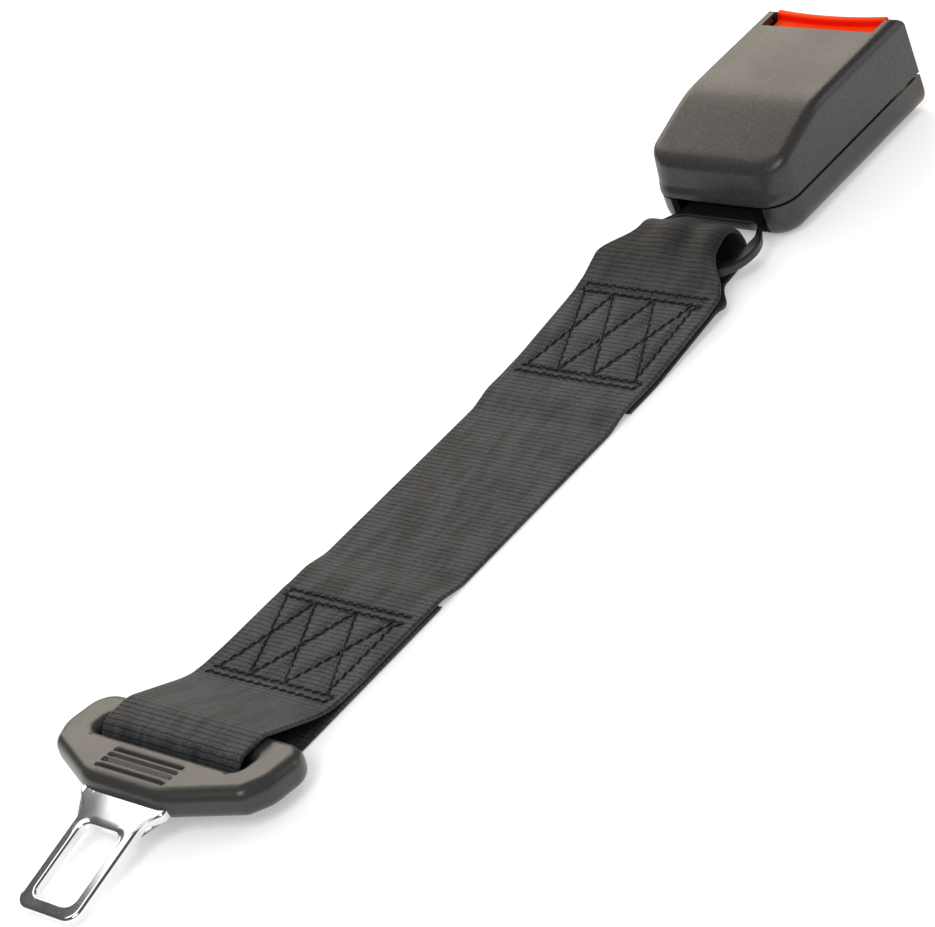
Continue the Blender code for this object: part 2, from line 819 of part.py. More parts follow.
def build_latch():
    latch_axis = make_axis("latch_axis", (pivot_x, 0, pivot_z - anchor_height), buckle_axis)
    place = (-pivot_x, 0, -pivot_z)
    eye = pin_radius + 0.0016
    reach_x = pivot_x + latch_reach
    steel = make_material("latch_steel", plated_steel, 0.4, 1.0)
    profile = rounded(
        [
            (pivot_x - eye, latch_low, 0.002),
            (tooth_x, latch_low, 0),
            (tooth_x, tooth_low, 0.0004),
            (tooth_x + tooth_length, tooth_low + 0.0009, 0.0004),
            (reach_x, latch_top, 0.0008),
            (pivot_x + eye + 0.002, latch_top, 0.002),
            (pivot_x + eye, pivot_z + eye, 0.002),
            (pivot_x - eye, pivot_z + eye, 0.002),
        ]
    )
    sheet = flat_mesh([profile], -latch_half_width, latch_half_width, upright=True)
    latch = buckle_piece("latch_lever", sheet, steel, latch_axis, place)
    lug_half = frame_inner - 2 * slide_gap
    lug_low = (lug_x, -lug_half, latch_low + skin)
    join(latch, box_mesh(lug_low, (lug_x + lug_length, lug_half, latch_top - skin)))
    far = latch_half_width + cut_extra
    cut(latch, rod_mesh((pivot_x, -far, pivot_z), (pivot_x, far, pivot_z), pin_radius + turn_gap))

    shaft = frame_half_width + seat_gap + pin_head / 2
    pin = buckle_piece(
        "latch_pivot_pin",
        rod_mesh((pivot_x, -shaft, pivot_z), (pivot_x, shaft, pivot_z), pin_radius),
        make_material("pin_steel", plated_steel, 0.3, 1.0),
    )
    inside, outside = frame_half_width + seat_gap, frame_half_width + seat_gap + pin_head
    for side in (-1, 1):
        head = ((pivot_x, side * inside, pivot_z), (pivot_x, side * outside, pivot_z))
        join(pin, rod_mesh(*head, 1.4 * pin_radius))

    high_x = wall_front - bridge_setback
    low_x = high_x - bridge_length
    bridge_low = wall_top + seat_gap
    bridge_high = bridge_low + bridge_thickness
    bridge = buckle_piece(
        "spring_bridge",
        box_mesh((low_x, -frame_half_width, bridge_low), (high_x, frame_half_width, bridge_high)),
        make_material("bridge_steel", plated_steel, 0.45, 1.0),
    )
    spring_x = (low_x + high_x) / 2
    peg_low = bridge_low - bridge_thickness
    peg_high = bridge_high - bridge_thickness / 2
    join(bridge, rod_mesh((spring_x, 0, peg_high), (spring_x, 0, peg_low), bridge_thickness))
    coil(
        "latch_spring",
        (spring_x, 0, latch_top + seat_gap),
        (spring_x, 0, bridge_low - seat_gap),
        latch_spring_radius,
        spring_wire,
        3,
        make_material("spring_steel", spring_steel, 0.3, 1.0),
        buckle_axis,
        floor_level,
    )


def build_ejector():
    ejector_axis = make_axis("ejector_axis", (0, 0, 0), buckle_axis)
    front = tooth_x + tooth_length + 0.0045
    bridge = tooth_x - 0.009
    rear = bridge - ejector_back
    corner = 0.001
    outline = mirrored(
        [
            (rear, prong_outer, corner),
            (front, prong_outer, corner),
            (front, prong_inner, corner),
            (bridge, prong_inner, corner),
        ]
    )
    ejector = buckle_piece(
        "ejector",
        flat_mesh([rounded(outline)], channel_low, channel_top),
        make_material("ejector_plastic", (0.75, 0.75, 0.72), 0.45),
        ejector_axis,
    )
    middle = channel_low + channel_height / 2
    join(ejector, rod_mesh((rear + overlap, 0, middle), (rear - 0.0025, 0, middle), 0.0008))
    coil(
        "ejector_spring",
        (stop_x + seat_gap, 0, middle),
        (rear - seat_gap, 0, middle),
        0.0013,
        spring_wire,
        6,
        make_material("ejector_spring_steel", spring_steel, 0.3, 1.0),
        buckle_axis,
        floor_level,
    )


# Button: a cap with a raised front lip, hollow behind, whose arms end in the ramps that lift the latch
def build_button():
    button_axis = make_axis("button_axis", (0, 0, 0), buckle_axis)
    half = arm_inner - slide_gap
    front = mouth - button_setback
    rear = front - button_length
    low = channel_top + 0.0018
    under_roof = roof_inner - slide_gap
    lip_start = roof_front + button_travel + slide_gap
    profile = rounded(
        [
            (rear, low, 0),
            (front, low, 0.001),
            (front, roof_height, 0.0008),
            (lip_start + 0.0006, roof_height, 0.0008),
            (lip_start, under_roof, 0.001),
            (rear, under_roof, 0),
        ]
    )
    orange = make_material("button_plastic", (0.86, 0.13, 0.02), 0.35)
    cap = flat_mesh([profile], -half, half, upright=True)
    button = buckle_piece("release_button", cap, orange, button_axis)
    cut(button, flat_mesh([scoop_outline(front, half)], low - cut_extra, roof_height + cut_extra))
    hollow_front = front - button_front_wall
    hollow_half = half - button_side_wall
    hollow_low = (rear - cut_extra, -hollow_half, low - cut_extra)
    cut(button, box_mesh(hollow_low, (hollow_front, hollow_half, under_roof - button_top_wall)))

    ramp_slope = pivot_to_lug * math.sin(latch_travel) / button_travel
    ramp_tip = lug_x + lug_length + slide_gap
    ramp_low = latch_low + skin - seat_gap
    ramp_end = ramp_tip + button_travel + ramp_foot
    ramp_high = ramp_low + ramp_slope * (ramp_end - ramp_tip)
    arm_low = channel_top + slide_gap
    arm_front = hollow_front + 2 * overlap
    arm = rounded(
        [
            (ramp_tip, arm_low, 0),
            (arm_front, arm_low, 0),
            (arm_front, ramp_high, 0),
            (ramp_end, ramp_high, 0),
            (ramp_tip, ramp_low, 0),
        ]
    )
    ramp_outer = frame_inner - 2 * seat_gap
    for low_y, high_y in ((ramp_inner, ramp_outer), (-ramp_outer, -ramp_inner)):
        join(button, flat_mesh([arm], low_y, high_y, upright=True))

    ear_low = (roof_front - button_ear_length, half - 2 * overlap, low + 0.001)
    ear_high = (roof_front - seat_gap, inner_half_width - slide_gap, low + 0.007)
    join(button, *pair_of_boxes(ear_low, ear_high))
    bore_end = rear + button_bore_depth
    for name, y in (("button_spring_left", spring_spread), ("button_spring_right", -spring_spread)):
        cut(button, rod_mesh((rear - cut_extra, y, spring_z), (bore_end, y, spring_z), 0.0018))
        coil(
            name,
            (seat_x + seat_gap, y, spring_z),
            (bore_end - seat_gap, y, spring_z),
            0.0012,
            spring_wire,
            8,
            make_material(f"{name}_steel", spring_steel, 0.3, 1.0),
            buckle_axis,
            floor_level,
        )


def scoop_outline(front, half):
    """What is cut from the button's front in plan: a shallow bow, deepest in the middle."""
    reach = half + cut_extra
    count = 12
    places = [reach * (1 - 2 * k / count) for k in range(count + 1)]
    bow = [(front - button_scoop * (1 - (y / half) ** 2), y) for y in places]
    return [(front + 2 * cut_extra, reach), *bow, (front + 2 * cut_extra, -reach)]


# Casing: both halves are formed past the mouth, rounded, and then trimmed there
run_on = 0.01


def casing_outline(inset, front):
    """The casing's plan, with round rear corners."""
    half = casing_half_width - inset
    return rounded(mirrored([(casing_setback + inset, half, rear_corner_round - inset), (front, half, 0)]))


def roof_profile(inset, low):
    """Side view of the upper casing: the roof bends down to a rear face that leans forward."""
    rear = casing_setback + inset
    lean = rear_lean / (roof_height - roof_fall - parting_height)
    top = roof_height - inset
    knee = top - roof_fall
    far = mouth + 2 * run_on
    return rounded(
        [
            (rear + lean * (low - parting_height), low, 0),
            (far, low, 0),
            (far, top, 0),
            (casing_setback + rear_lean + roof_fall_length, top, 0.022),
            (rear + lean * (knee - parting_height), knee, 0.0008),
        ],
        step=math.radians(6),
    )


def upper_form(inset, front, low):
    """The upper casing's solid, before its edges are rounded."""
    plan = flat_mesh([casing_outline(inset, front)], low, roof_height + run_on)
    form = bpy.data.objects.new("form", plan)
    parts.objects.link(form)
    side = flat_mesh([roof_profile(inset, low - run_on)], -0.05, 0.05, upright=True)
    combine(form, side, "INTERSECT")
    return evaluated_mesh(form)


def above(mesh, height):
    """The part of a mesh above a height, closed at the cut."""
    bm = bmesh.new()
    bm.from_mesh(mesh)
    everything = bm.verts[:] + bm.edges[:] + bm.faces[:]
    cut_away = bmesh.ops.bisect_plane(
        bm, geom=everything, plane_co=(0, 0, height), plane_no=(0, 0, 1), dist=1e-7, clear_inner=True
    )
    rim = [e for e in cut_away["geom_cut"] if isinstance(e, bmesh.types.BMEdge)]
    bmesh.ops.contextual_create(bm, geom=rim)
    bmesh.ops.recalc_face_normals(bm, faces=bm.faces)
    bm.to_mesh(mesh)
    bm.free()
    return mesh


def mouth_trim():
    """What is cut away at the mouth, in side view, round at the arms' tips and at the foot."""
    inside, far = mouth - run_on, mouth + 2 * run_on
    high, low = roof_height + run_on, -run_on
    outline = [
        (inside, high, 0),
        (inside, roof_height + touch, 0),
        (mouth, roof_height + touch, mouth_top_round),
        (mouth, -touch, mouth_low_round),
        (inside, -touch, 0),
        (inside, low, 0),
        (far, low, 0),
        (far, high, 0),
    ]
    return flat_mesh([rounded(outline)], -0.05, 0.05, upright=True)


def build_upper_shell():
    outer = upper_form(0, mouth + run_on, parting_height - run_on / 2)

    def is_upper_edge(edge):
        high = min(v.co.z for v in edge.verts) > parting_height + 0.004
        level = abs((edge.verts[0].co - edge.verts[1].co).normalized().z) < 0.75
        inside = max(v.co.x for v in edge.verts) < mouth + run_on - touch
        along = abs(edge.verts[0].co.x - edge.verts[1].co.x) > touch
        return high and level and (inside or along) and edge.calc_face_angle(0) > 0.5

    round_edges(outer, is_upper_edge, top_edge_round)
    shell = buckle_piece(
        "upper_shell",
        above(outer, parting_height + parting_gap / 2),
        make_material("casing_plastic", black_plastic, 0.55),
    )
    cut(shell, mouth_trim())
    hollow = upper_form(casing_wall, mouth - casing_wall, parting_height - run_on / 2)
    cut(shell, above(hollow, parting_height - cut_extra))
    scoop_low = (roof_front, -arm_inner, parting_height - run_on / 2)
    cut(shell, box_mesh(scoop_low, (mouth + run_on, arm_inner, roof_height + run_on)))
    wall_inside = inner_half_width + overlap
    seat_low = (seat_x - spring_seat_thickness, -wall_inside, spring_z - spring_rise)
    join(shell, box_mesh(seat_low, (seat_x, wall_inside, roof_inner + overlap)))
    tab_high = parting_height + tab_length
    for start in (rear_tab_x, front_tab_x):
        end = start + tab_length
        tab_low = (start, frame_half_width + tab_room, parting_height - tab_depth)
        join(shell, *pair_of_boxes(tab_low, (end, inner_half_width - seat_gap, tab_high)))
        link_low = (start, inner_half_width - 2 * overlap, parting_height + 2 * overlap)
        join(shell, *pair_of_boxes(link_low, (end, wall_inside, tab_high)))


def build_lower_shell():
    top = parting_height - parting_gap / 2
    outer = flat_mesh([casing_outline(0, mouth + run_on)], 0, top)

    def is_bottom_edge(edge):
        low = max(v.co.z for v in edge.verts) < touch
        return low and min(v.co.x for v in edge.verts) < mouth and edge.calc_face_angle(0) > 1

    round_edges(outer, is_bottom_edge, bottom_edge_round, segments=4)
    shell = buckle_piece("lower_shell", outer, make_material("base_plastic", black_plastic, 0.55))
    cut(shell, mouth_trim())
    hollow = flat_mesh([casing_outline(casing_wall, mouth - casing_wall)], casing_wall, top + cut_extra)

    def is_hollow_floor(edge):
        low = max(v.co.z for v in edge.verts) < casing_wall + touch
        return low and min(v.co.x for v in edge.verts) < mouth - run_on and edge.calc_face_angle(0) > 1

    round_edges(hollow, is_hollow_floor, bottom_edge_round - casing_wall)
    cut(shell, hollow)
    opening_half = anchor_neck_half + opening_room
    opening_low = (casing_setback - 2 * cut_extra, -opening_half, anchor_low - opening_room)
    opening_end = casing_setback + casing_wall + cut_extra
    cut(shell, box_mesh(opening_low, (opening_end, opening_half, top + cut_extra)))
    throat_half = arm_inner - cut_extra
    throat_low = (mouth - run_on / 2, -throat_half, base_top + seat_gap / 2)
    cut(shell, box_mesh(throat_low, (mouth + cut_extra, throat_half, top + cut_extra)))
    anchor_end = casing_setback + anchor_tail
    supports = (
        (casing_setback + 0.004, anchor_end, anchor_low - seat_gap, 0.0022),
        (anchor_end + 0.001, mouth - 0.0135, base_low - seat_gap, 0.009),
    )
    for start, end, height, y in supports:
        support_low = (start, y, casing_wall - overlap)
        join(shell, *pair_of_boxes(support_low, (end, y + support_thickness, height)))


build_webbing()
build_stitches()
build_tongue()
build_anchor_plate()
build_rivets()
build_frame()
build_latch()
build_ejector()
build_button()
build_upper_shell()
build_lower_shell()
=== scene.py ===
import math

import bmesh
import bpy
import numpy as np
from mathutils import Matrix, Vector


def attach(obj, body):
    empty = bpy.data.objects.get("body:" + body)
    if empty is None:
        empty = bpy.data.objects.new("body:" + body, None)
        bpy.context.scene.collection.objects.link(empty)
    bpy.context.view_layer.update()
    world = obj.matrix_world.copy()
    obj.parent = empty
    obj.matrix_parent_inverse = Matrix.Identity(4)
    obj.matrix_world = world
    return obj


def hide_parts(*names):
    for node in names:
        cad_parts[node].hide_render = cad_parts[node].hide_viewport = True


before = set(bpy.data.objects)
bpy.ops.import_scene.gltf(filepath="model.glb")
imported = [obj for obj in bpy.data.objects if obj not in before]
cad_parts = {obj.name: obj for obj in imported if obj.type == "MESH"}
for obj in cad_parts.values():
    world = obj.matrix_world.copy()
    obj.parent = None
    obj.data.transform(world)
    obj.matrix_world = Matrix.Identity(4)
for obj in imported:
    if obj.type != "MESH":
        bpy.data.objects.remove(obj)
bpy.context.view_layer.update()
print("frame loaded:", len(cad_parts), "nodes")

mm = 0.001
view = bpy.context.scene
view.view_settings.view_transform = "Standard"


# Camera: fitted to the edges of the buckle, strap and tongue in the photograph
camera = {
    "eye": (-0.458708, -0.567630, 0.451903),
    "right": (0.600478, -0.730709, -0.324791),
    "up": (0.598819, 0.141730, 0.788244),
    "lens": 130.93,  # on a 36 mm sensor
}


def buildCamera():
    data = bpy.data.cameras.new("photoCamera")
    data.lens = camera["lens"]
    data.sensor_width = 36
    data.clip_start, data.clip_end = 0.05, 20
    eye = bpy.data.objects.new("photoCamera", data)
    right = np.array(camera["right"])
    up = np.array(camera["up"])
    turn = np.stack([right, up, np.cross(right, up)], axis=1)
    eye.matrix_world = Matrix.Translation(camera["eye"]) @ Matrix(turn.tolist()).to_4x4()
    view.collection.objects.link(eye)
    view.camera = eye


buildCamera()
print("camera placed")


# Outlines and surfaces
inLine = 1e-3  # radians: a corner that turns less counts as straight


def unit(vectors):
    return vectors / np.linalg.norm(vectors, axis=-1, keepdims=True)


# Length of a path up to each of its points.
def pathRun(path):
    return np.concatenate([[0], np.cumsum(np.linalg.norm(np.diff(path, axis=0), axis=1))])


# Unit directions from a corner to its neighbours, and the angle that the outline turns there.
def cornerTurn(before, here, after):
    a, b = unit(before - here), unit(after - here)
    return a, b, math.pi - math.acos(np.clip(a @ b, -1, 1))


# Points at shares of the arc of radius r that touches both sides of a corner.
# The centre lies on the corner's bisector, r / cos(turn / 2) from it; the first point is where the
# arc touches the side towards a, and it is turned about the centre towards the side of b.
def cornerArc(here, a, b, turn, r, shares):
    centre = here + unit(a + b) * r / math.cos(turn / 2)
    start = here + a * r * math.tan(turn / 2) - centre
    side = np.sign(a[1] * b[0] - a[0] * b[1])
    angle = side * turn * shares
    x = start[0] * np.cos(angle) - start[1] * np.sin(angle)
    y = start[0] * np.sin(angle) + start[1] * np.cos(angle)
    return centre + np.stack([x, y], axis=1)


# A half outline as points, from its first to its last corner.
# Each corner (x, y, r) becomes arc + 1 points on a circle of radius r that touches both its sides;
# where the sides are in line, they lie evenly on a stretch of r either side of the corner.
# Between two corners come straight[i] evenly spaced points.
def cornerRing(corners, straight, arc):
    first = np.array([corners[0][0], 0.0])
    last = np.array([corners[-1][0], 0.0])
    spots = [first] + [np.array(c[:2], float) for c in corners] + [last]
    rows = [first[None]]
    for i, (x, y, r) in enumerate(corners):
        here = spots[i + 1]
        a, b, turn = cornerTurn(spots[i], here, spots[i + 2])
        shares = np.linspace(0, 1, arc + 1)
        if turn < inLine:
            corner = here + a * r * (1 - 2 * shares[:, None])
        else:
            corner = cornerArc(here, a, b, turn, r, shares)
        lead = np.linspace(rows[-1][-1], corner[0], straight[i] + 2)[1:-1]
        rows += [lead, corner]
    rows += [np.linspace(rows[-1][-1], last, straight[-1] + 2)[1:]]
    return np.vstack(rows)


# The half outline and its mirror image in y, as one closed ring that starts at y = 0.
def mirroredRing(half):
    back = half[-2:0:-1] * np.array([1, -1])
    return np.vstack([half, back])


# Unit normals of a closed ring: each point's tangent, turned a quarter turn.
def ringNormals(ring):
    along = unit(np.roll(ring, -1, axis=0) - np.roll(ring, 1, axis=0))
    normal = np.stack([-along[:, 1], along[:, 0]], axis=1)
    outward = np.sign(((ring - ring.mean(axis=0)) * normal).sum())
    return normal * outward


# A mesh of quads over a grid of points (n, m, 3); wrapU and wrapV close it round either way.
def gridObject(name, points, wrapU=False, wrapV=False, keep=None, uv=None, merge=1e-7):
    n, m = points.shape[:2]
    a, b = np.indices((n if wrapU else n - 1, m if wrapV else m - 1))
    a1, b1 = (a + 1) % n, (b + 1) % m
    quads = np.stack([a * m + b, a1 * m + b, a1 * m + b1, a * m + b1], axis=-1)
    quads = quads.reshape(-1, 4) if keep is None else quads[keep]
    mesh = bpy.data.meshes.new(name)
    mesh.vertices.add(n * m)
    mesh.vertices.foreach_set("co", points.reshape(-1).astype(np.float32))
    mesh.loops.add(quads.size)
    mesh.loops.foreach_set("vertex_index", quads.reshape(-1).astype(np.int32))
    mesh.polygons.add(len(quads))
    mesh.polygons.foreach_set("loop_start", np.arange(0, quads.size, 4, dtype=np.int32))
    mesh.polygons.foreach_set("use_smooth", np.ones(len(quads), bool))
    if uv is not None:
        layer = mesh.uv_layers.new(name="UVMap")
        corners = uv.reshape(-1, 2)[quads.reshape(-1)]
        layer.data.foreach_set("uv", corners.reshape(-1).astype(np.float32))
    mesh.update(calc_edges=True)
    bm = bmesh.new()
    bm.from_mesh(mesh)
    bmesh.ops.remove_doubles(bm, verts=bm.verts, dist=merge)
    bmesh.ops.dissolve_degenerate(bm, edges=bm.edges, dist=merge / 4)
    loose = [v for v in bm.verts if not v.link_faces]
    bmesh.ops.delete(bm, geom=loose, context="VERTS")
    if wrapU or wrapV:
        bmesh.ops.recalc_face_normals(bm, faces=bm.faces)
    bm.to_mesh(mesh)
    bm.free()
    mesh.validate()
    piece = bpy.data.objects.new(name, mesh)
    view.collection.objects.link(piece)
    return piece


# Several meshes in one object.
def joined(name, pieces):
    bm = bmesh.new()
    for piece in pieces:
        bm.from_mesh(piece.data)
    mesh = pieces[0].data
    bm.to_mesh(mesh)
    bm.free()
    for piece in pieces[1:]:
        bpy.data.objects.remove(piece)
    pieces[0].name = name
    return pieces[0]


# Stations round the section of a slab with a hole: (share, from inner, from outer, height).
# A quarter turn at each rim, the top between them with the shares in across, and the underside.
def roundedSection(outerRound, innerRound, half, across):
    q = np.linspace(0, math.pi / 2, 7)  # the rounding of each rim
    rows = [(0, innerRound * (1 - math.cos(a)), 0, half - innerRound * (1 - math.sin(a))) for a in q]
    rows += [(s, innerRound * (1 - s), outerRound * s, half) for s in across]
    rows += [(1, 0, outerRound * (1 - math.sin(a)), half - outerRound * (1 - math.cos(a))) for a in q]
    mirrored = [(s, a, b, -z) for s, a, b, z in rows[::-1]]
    return np.array(rows + mirrored)


# A slab with a hole: the rounded section, carried round two matched outlines.
# A station's place is a blend of the inner outline, moved out by its first offset, and the outer
# outline, moved in by its second one; shape(points) may bend the whole.
def ringSlab(name, outer, inner, outerRound, innerRound, half, across, shape=None):
    share, out, back, z = roundedSection(outerRound, innerRound, half, across).T
    innerNormal, outerNormal = ringNormals(inner), ringNormals(outer)
    a = inner[:, None] + innerNormal[:, None] * out[None, :, None]
    b = outer[:, None] - outerNormal[:, None] * back[None, :, None]
    plan = a * (1 - share)[None, :, None] + b * share[None, :, None]
    height = np.broadcast_to(z, plan.shape[:2])
    points = np.dstack([plan, height])
    if shape:
        points = shape(points)
    return gridObject(name, points, wrapU=True, wrapV=True)


# Materials


def newMaterial(name):
    material = bpy.data.materials.new(name)
    material.use_nodes = True
    tree = material.node_tree
    return material, tree, tree.links, tree.nodes["Principled BSDF"]


# A shader node group with a vector and named values as inputs, and values as outputs.
def newGroup(name, inputs, outputs):
    group = bpy.data.node_groups.new(name, "ShaderNodeTree")
    group.interface.new_socket(name="Vector", in_out="INPUT", socket_type="NodeSocketVector")
    for labels, way in ((inputs, "INPUT"), (outputs, "OUTPUT")):
        for label in labels:
            group.interface.new_socket(name=label, in_out=way, socket_type="NodeSocketFloat")
    return group, group.nodes.new("NodeGroupInput"), group.nodes.new("NodeGroupOutput")


def mathNode(tree, operation, *values):
    node = tree.nodes.new("ShaderNodeMath")
    node.operation = operation
    for socket, value in zip(node.inputs, values):
        if isinstance(value, (int, float)):
            socket.default_value = value
        else:
            tree.links.new(value, socket)
    return node.outputs[0]


def times(tree, a, b):
    return mathNode(tree, "MULTIPLY", a, b)


def plus(tree, a, b):
    return mathNode(tree, "ADD", a, b)


def setInputs(node, values):
    for label, value in values.items():
        node.inputs[label].default_value = value


def axes(tree, vector):
    node = tree.nodes.new("ShaderNodeSeparateXYZ")
    tree.links.new(vector, node.inputs[0])
    return node.outputs


def noiseNode(tree, vector, scale, detail=2.0, roughness=0.5, stretch=None):
    if stretch:
        mapping = tree.nodes.new("ShaderNodeMapping")
        mapping.inputs["Scale"].default_value = stretch
        tree.links.new(vector, mapping.inputs["Vector"])
        vector = mapping.outputs[0]
    node = tree.nodes.new("ShaderNodeTexNoise")
    setInputs(node, {"Scale": scale, "Detail": detail, "Roughness": roughness})
    tree.links.new(vector, node.inputs["Vector"])
    return node.outputs["Fac"]


def spread(tree, value, low, high, outLow=0.0, outHigh=1.0):
    node = tree.nodes.new("ShaderNodeMapRange")
    setInputs(node, {"From Min": low, "From Max": high, "To Min": outLow, "To Max": outHigh})
    tree.links.new(value, node.inputs["Value"])
    return node.outputs["Result"]


def mixColours(tree, factor, a, b):
    node = tree.nodes.new("ShaderNodeMix")
    node.data_type = "RGBA"
    tree.links.new(factor, node.inputs["Factor"])
    for label, value in (("A", a), ("B", b)):
        socket = [s for s in node.inputs if s.name == label and s.type == "RGBA"][0]
        if isinstance(value, tuple):
            socket.default_value = (*value, 1)
        else:
            tree.links.new(value, socket)
    return [s for s in node.outputs if s.type == "RGBA"][0]


def bumpNode(tree, height, strength, distance):
    node = tree.nodes.new("ShaderNodeBump")
    setInputs(node, {"Strength": strength, "Distance": distance})
    tree.links.new(height, node.inputs["Height"])
    return node.outputs["Normal"]


# Rounded ridges, one per unit of the value: the size of the sine of pi times it.
def ridges(tree, value):
    wave = mathNode(tree, "SINE", times(tree, value, math.pi))
    return mathNode(tree, "ABSOLUTE", wave)


# Rib weave: a rib is a raised sine of the place along the strap, cut off low so the grooves stay thin.
# Threads are the same across it, half a step on in every other rib.
def weaveGroup():
    values = ["Ribs per metre", "Threads per metre"]
    group, start, end = newGroup("ribWeave", values, ["Height", "Shade"])
    x, y, _ = axes(group, start.outputs["Vector"])
    wobble = noiseNode(group, start.outputs["Vector"], 260, 3, 0.6)
    along = times(group, x, start.outputs["Ribs per metre"])
    along = plus(group, along, times(group, wobble, 0.55))
    across = times(group, y, start.outputs["Threads per metre"])
    rib = spread(group, ridges(group, along), 0.08, 0.62)
    shift = times(group, mathNode(group, "FLOOR", along), 0.5)
    thread = ridges(group, plus(group, across, shift))
    height = times(group, rib, 0.75)
    height = plus(group, height, times(group, thread, 0.25))
    group.links.new(height, end.inputs["Height"])
    shade = plus(group, times(group, thread, 0.3), 0.7)  # threads tell less than ribs
    group.links.new(times(group, rib, shade), end.inputs["Shade"])
    return group


# Moulded grain: fine bumps, and a mottle that varies the gloss and the tone a little.
def grainGroup():
    group, start, end = newGroup("mouldGrain", [], ["Height", "Gloss", "Speck"])
    vector = start.outputs["Vector"]
    fine = noiseNode(group, vector, 1300, 3, 0.65)
    coarse = noiseNode(group, vector, 760, 3, 0.6)
    height = times(group, fine, 0.6)
    height = plus(group, height, times(group, coarse, 0.4))
    group.links.new(height, end.inputs["Height"])
    slow = noiseNode(group, vector, 60, 3, 0.6)
    group.links.new(spread(group, slow, 0.3, 0.7, -1, 1), end.inputs["Gloss"])
    speck = noiseNode(group, vector, 1000, 2, 0.7)
    group.links.new(spread(group, speck, 0.3, 0.7), end.inputs["Speck"])
    return group


# Handled metal: faint streaks and smudges that dull the gloss.
def smudgeGroup():
    group, start, end = newGroup("handledMetal", [], ["Smudge", "Scratch"])
    vector = start.outputs["Vector"]
    slow = noiseNode(group, vector, 90, 4, 0.6)
    group.links.new(spread(group, slow, 0.45, 0.75), end.inputs["Smudge"])
    fine = noiseNode(group, vector, 300, 3, 0.7, stretch=(1, 14, 14))
    group.links.new(spread(group, fine, 0.55, 0.8), end.inputs["Scratch"])
    return group


groups = {"weave": weaveGroup(), "grain": grainGroup(), "smudge": smudgeGroup()}


def placeGroup(tree, name, vector):
    node = tree.nodes.new("ShaderNodeGroup")
    node.node_tree = groups[name]
    tree.links.new(vector, node.inputs["Vector"])
    return node


def coordinates(tree, output):
    return tree.nodes.new("ShaderNodeTexCoord").outputs[output]


webbingFinish = {
    "light": (0.054, 0.059, 0.067),
    "dark": (0.006, 0.006, 0.006),
    "patchPaintedShade": 0.55,  # how much painted shade darkens the dull patches, for the uneven sheen of the cloth
    "streaks": 0.5,  # and the painted shade of the streaks along it
    "fade": 0.55,  # how far the grooves fill in on the even stretches
    "crest": (0.268, 0.288),  # metres along the strip where painted shade darkens it towards the anchor slot, for the shade of its gathered folds
    "crestPaintedShade": 0.62,
    "weave": {"Ribs per metre": 690.0, "Threads per metre": 900.0},
}


def webbingMaterial():
    material, tree, links, shader = newMaterial("wovenPolyester")
    look, uv = webbingFinish, coordinates(tree, "UV")
    weave = placeGroup(tree, "weave", uv)
    setInputs(weave, look["weave"])
    patch = spread(tree, noiseNode(tree, uv, 70, 3, 0.6, stretch=(1, 2.0, 1)), 0.46, 0.64)
    streak = spread(tree, noiseNode(tree, uv, 60, 4, 0.65, stretch=(1, 4.5, 1)), 0.48, 0.66)
    speck = spread(tree, noiseNode(tree, uv, 1500, 1, 0.5), 0.3, 0.7, 0.72, 1.12)
    # painted shade: the grooves show most in the dark patches and streaks
    depth = mathNode(tree, "MAXIMUM", patch, streak)
    filled = times(tree, mathNode(tree, "SUBTRACT", 1.0, depth), look["fade"])
    tone = times(tree, mathNode(tree, "MAXIMUM", weave.outputs["Shade"], filled), speck)
    # the dark patches and streaks are painted shade, for the uneven sheen and shallow ripples of the cloth
    for mask, amount in ((patch, look["patchPaintedShade"]), (streak, look["streaks"])):
        darker = mathNode(tree, "SUBTRACT", 1.0, times(tree, mask, amount))
        tone = times(tree, tone, darker)
    # painted shade on the gathered folds near the anchor slot
    crest = spread(tree, axes(tree, uv)[0], *look["crest"], 1.0, 1.0 - look["crestPaintedShade"])
    tone = times(tree, tone, crest)
    links.new(mixColours(tree, tone, look["dark"], look["light"]), shader.inputs["Base Color"])
    setInputs(shader, {"Roughness": 0.6, "Specular IOR Level": 0.3})
    setInputs(shader, {"Sheen Weight": 0.06, "Sheen Roughness": 0.5})
    height = plus(tree, weave.outputs["Height"], times(tree, speck, 0.3))
    links.new(bumpNode(tree, height, 0.6, 0.00025), shader.inputs["Normal"])
    return material


threadFinish = {
    "dark": (0.006, 0.006, 0.006),
    "light": (0.016, 0.016, 0.017),
    "twistsPerMetre": 2200.0,
}


def threadMaterial():
    material, tree, links, shader = newMaterial("sewingThread")
    uv = coordinates(tree, "UV")
    along, around, _ = axes(tree, uv)
    twist = times(tree, along, threadFinish["twistsPerMetre"])
    twist = ridges(tree, plus(tree, twist, around))
    colour = mixColours(tree, twist, threadFinish["dark"], threadFinish["light"])
    links.new(colour, shader.inputs["Base Color"])
    shader.inputs["Roughness"].default_value = 0.5
    links.new(bumpNode(tree, twist, 0.5, 0.0001), shader.inputs["Normal"])
    return material


# Moulded plastic. The mottle is the share by which the specks vary its tone and its shine.
def plasticMaterial(name, colour, roughness, bump, mottle=0.0):
    material, tree, links, shader = newMaterial(name)
    grain = placeGroup(tree, "grain", coordinates(tree, "Object"))
    speck = grain.outputs["Speck"]
    darker = tuple(c * (1 - mottle) for c in colour)
    lighter = tuple(c * (1 + mottle) for c in colour)
    links.new(mixColours(tree, speck, darker, lighter), shader.inputs["Base Color"])
    rough = times(tree, grain.outputs["Gloss"], 0.04)
    rough = plus(tree, rough, roughness)
    links.new(rough, shader.inputs["Roughness"])
    gloss = spread(tree, speck, 0, 1, 0.5 * (1 - mottle), 0.5 * (1 + mottle))
    links.new(gloss, shader.inputs["Specular IOR Level"])
    links.new(bumpNode(tree, grain.outputs["Height"], bump, 0.00014), shader.inputs["Normal"])
    return material


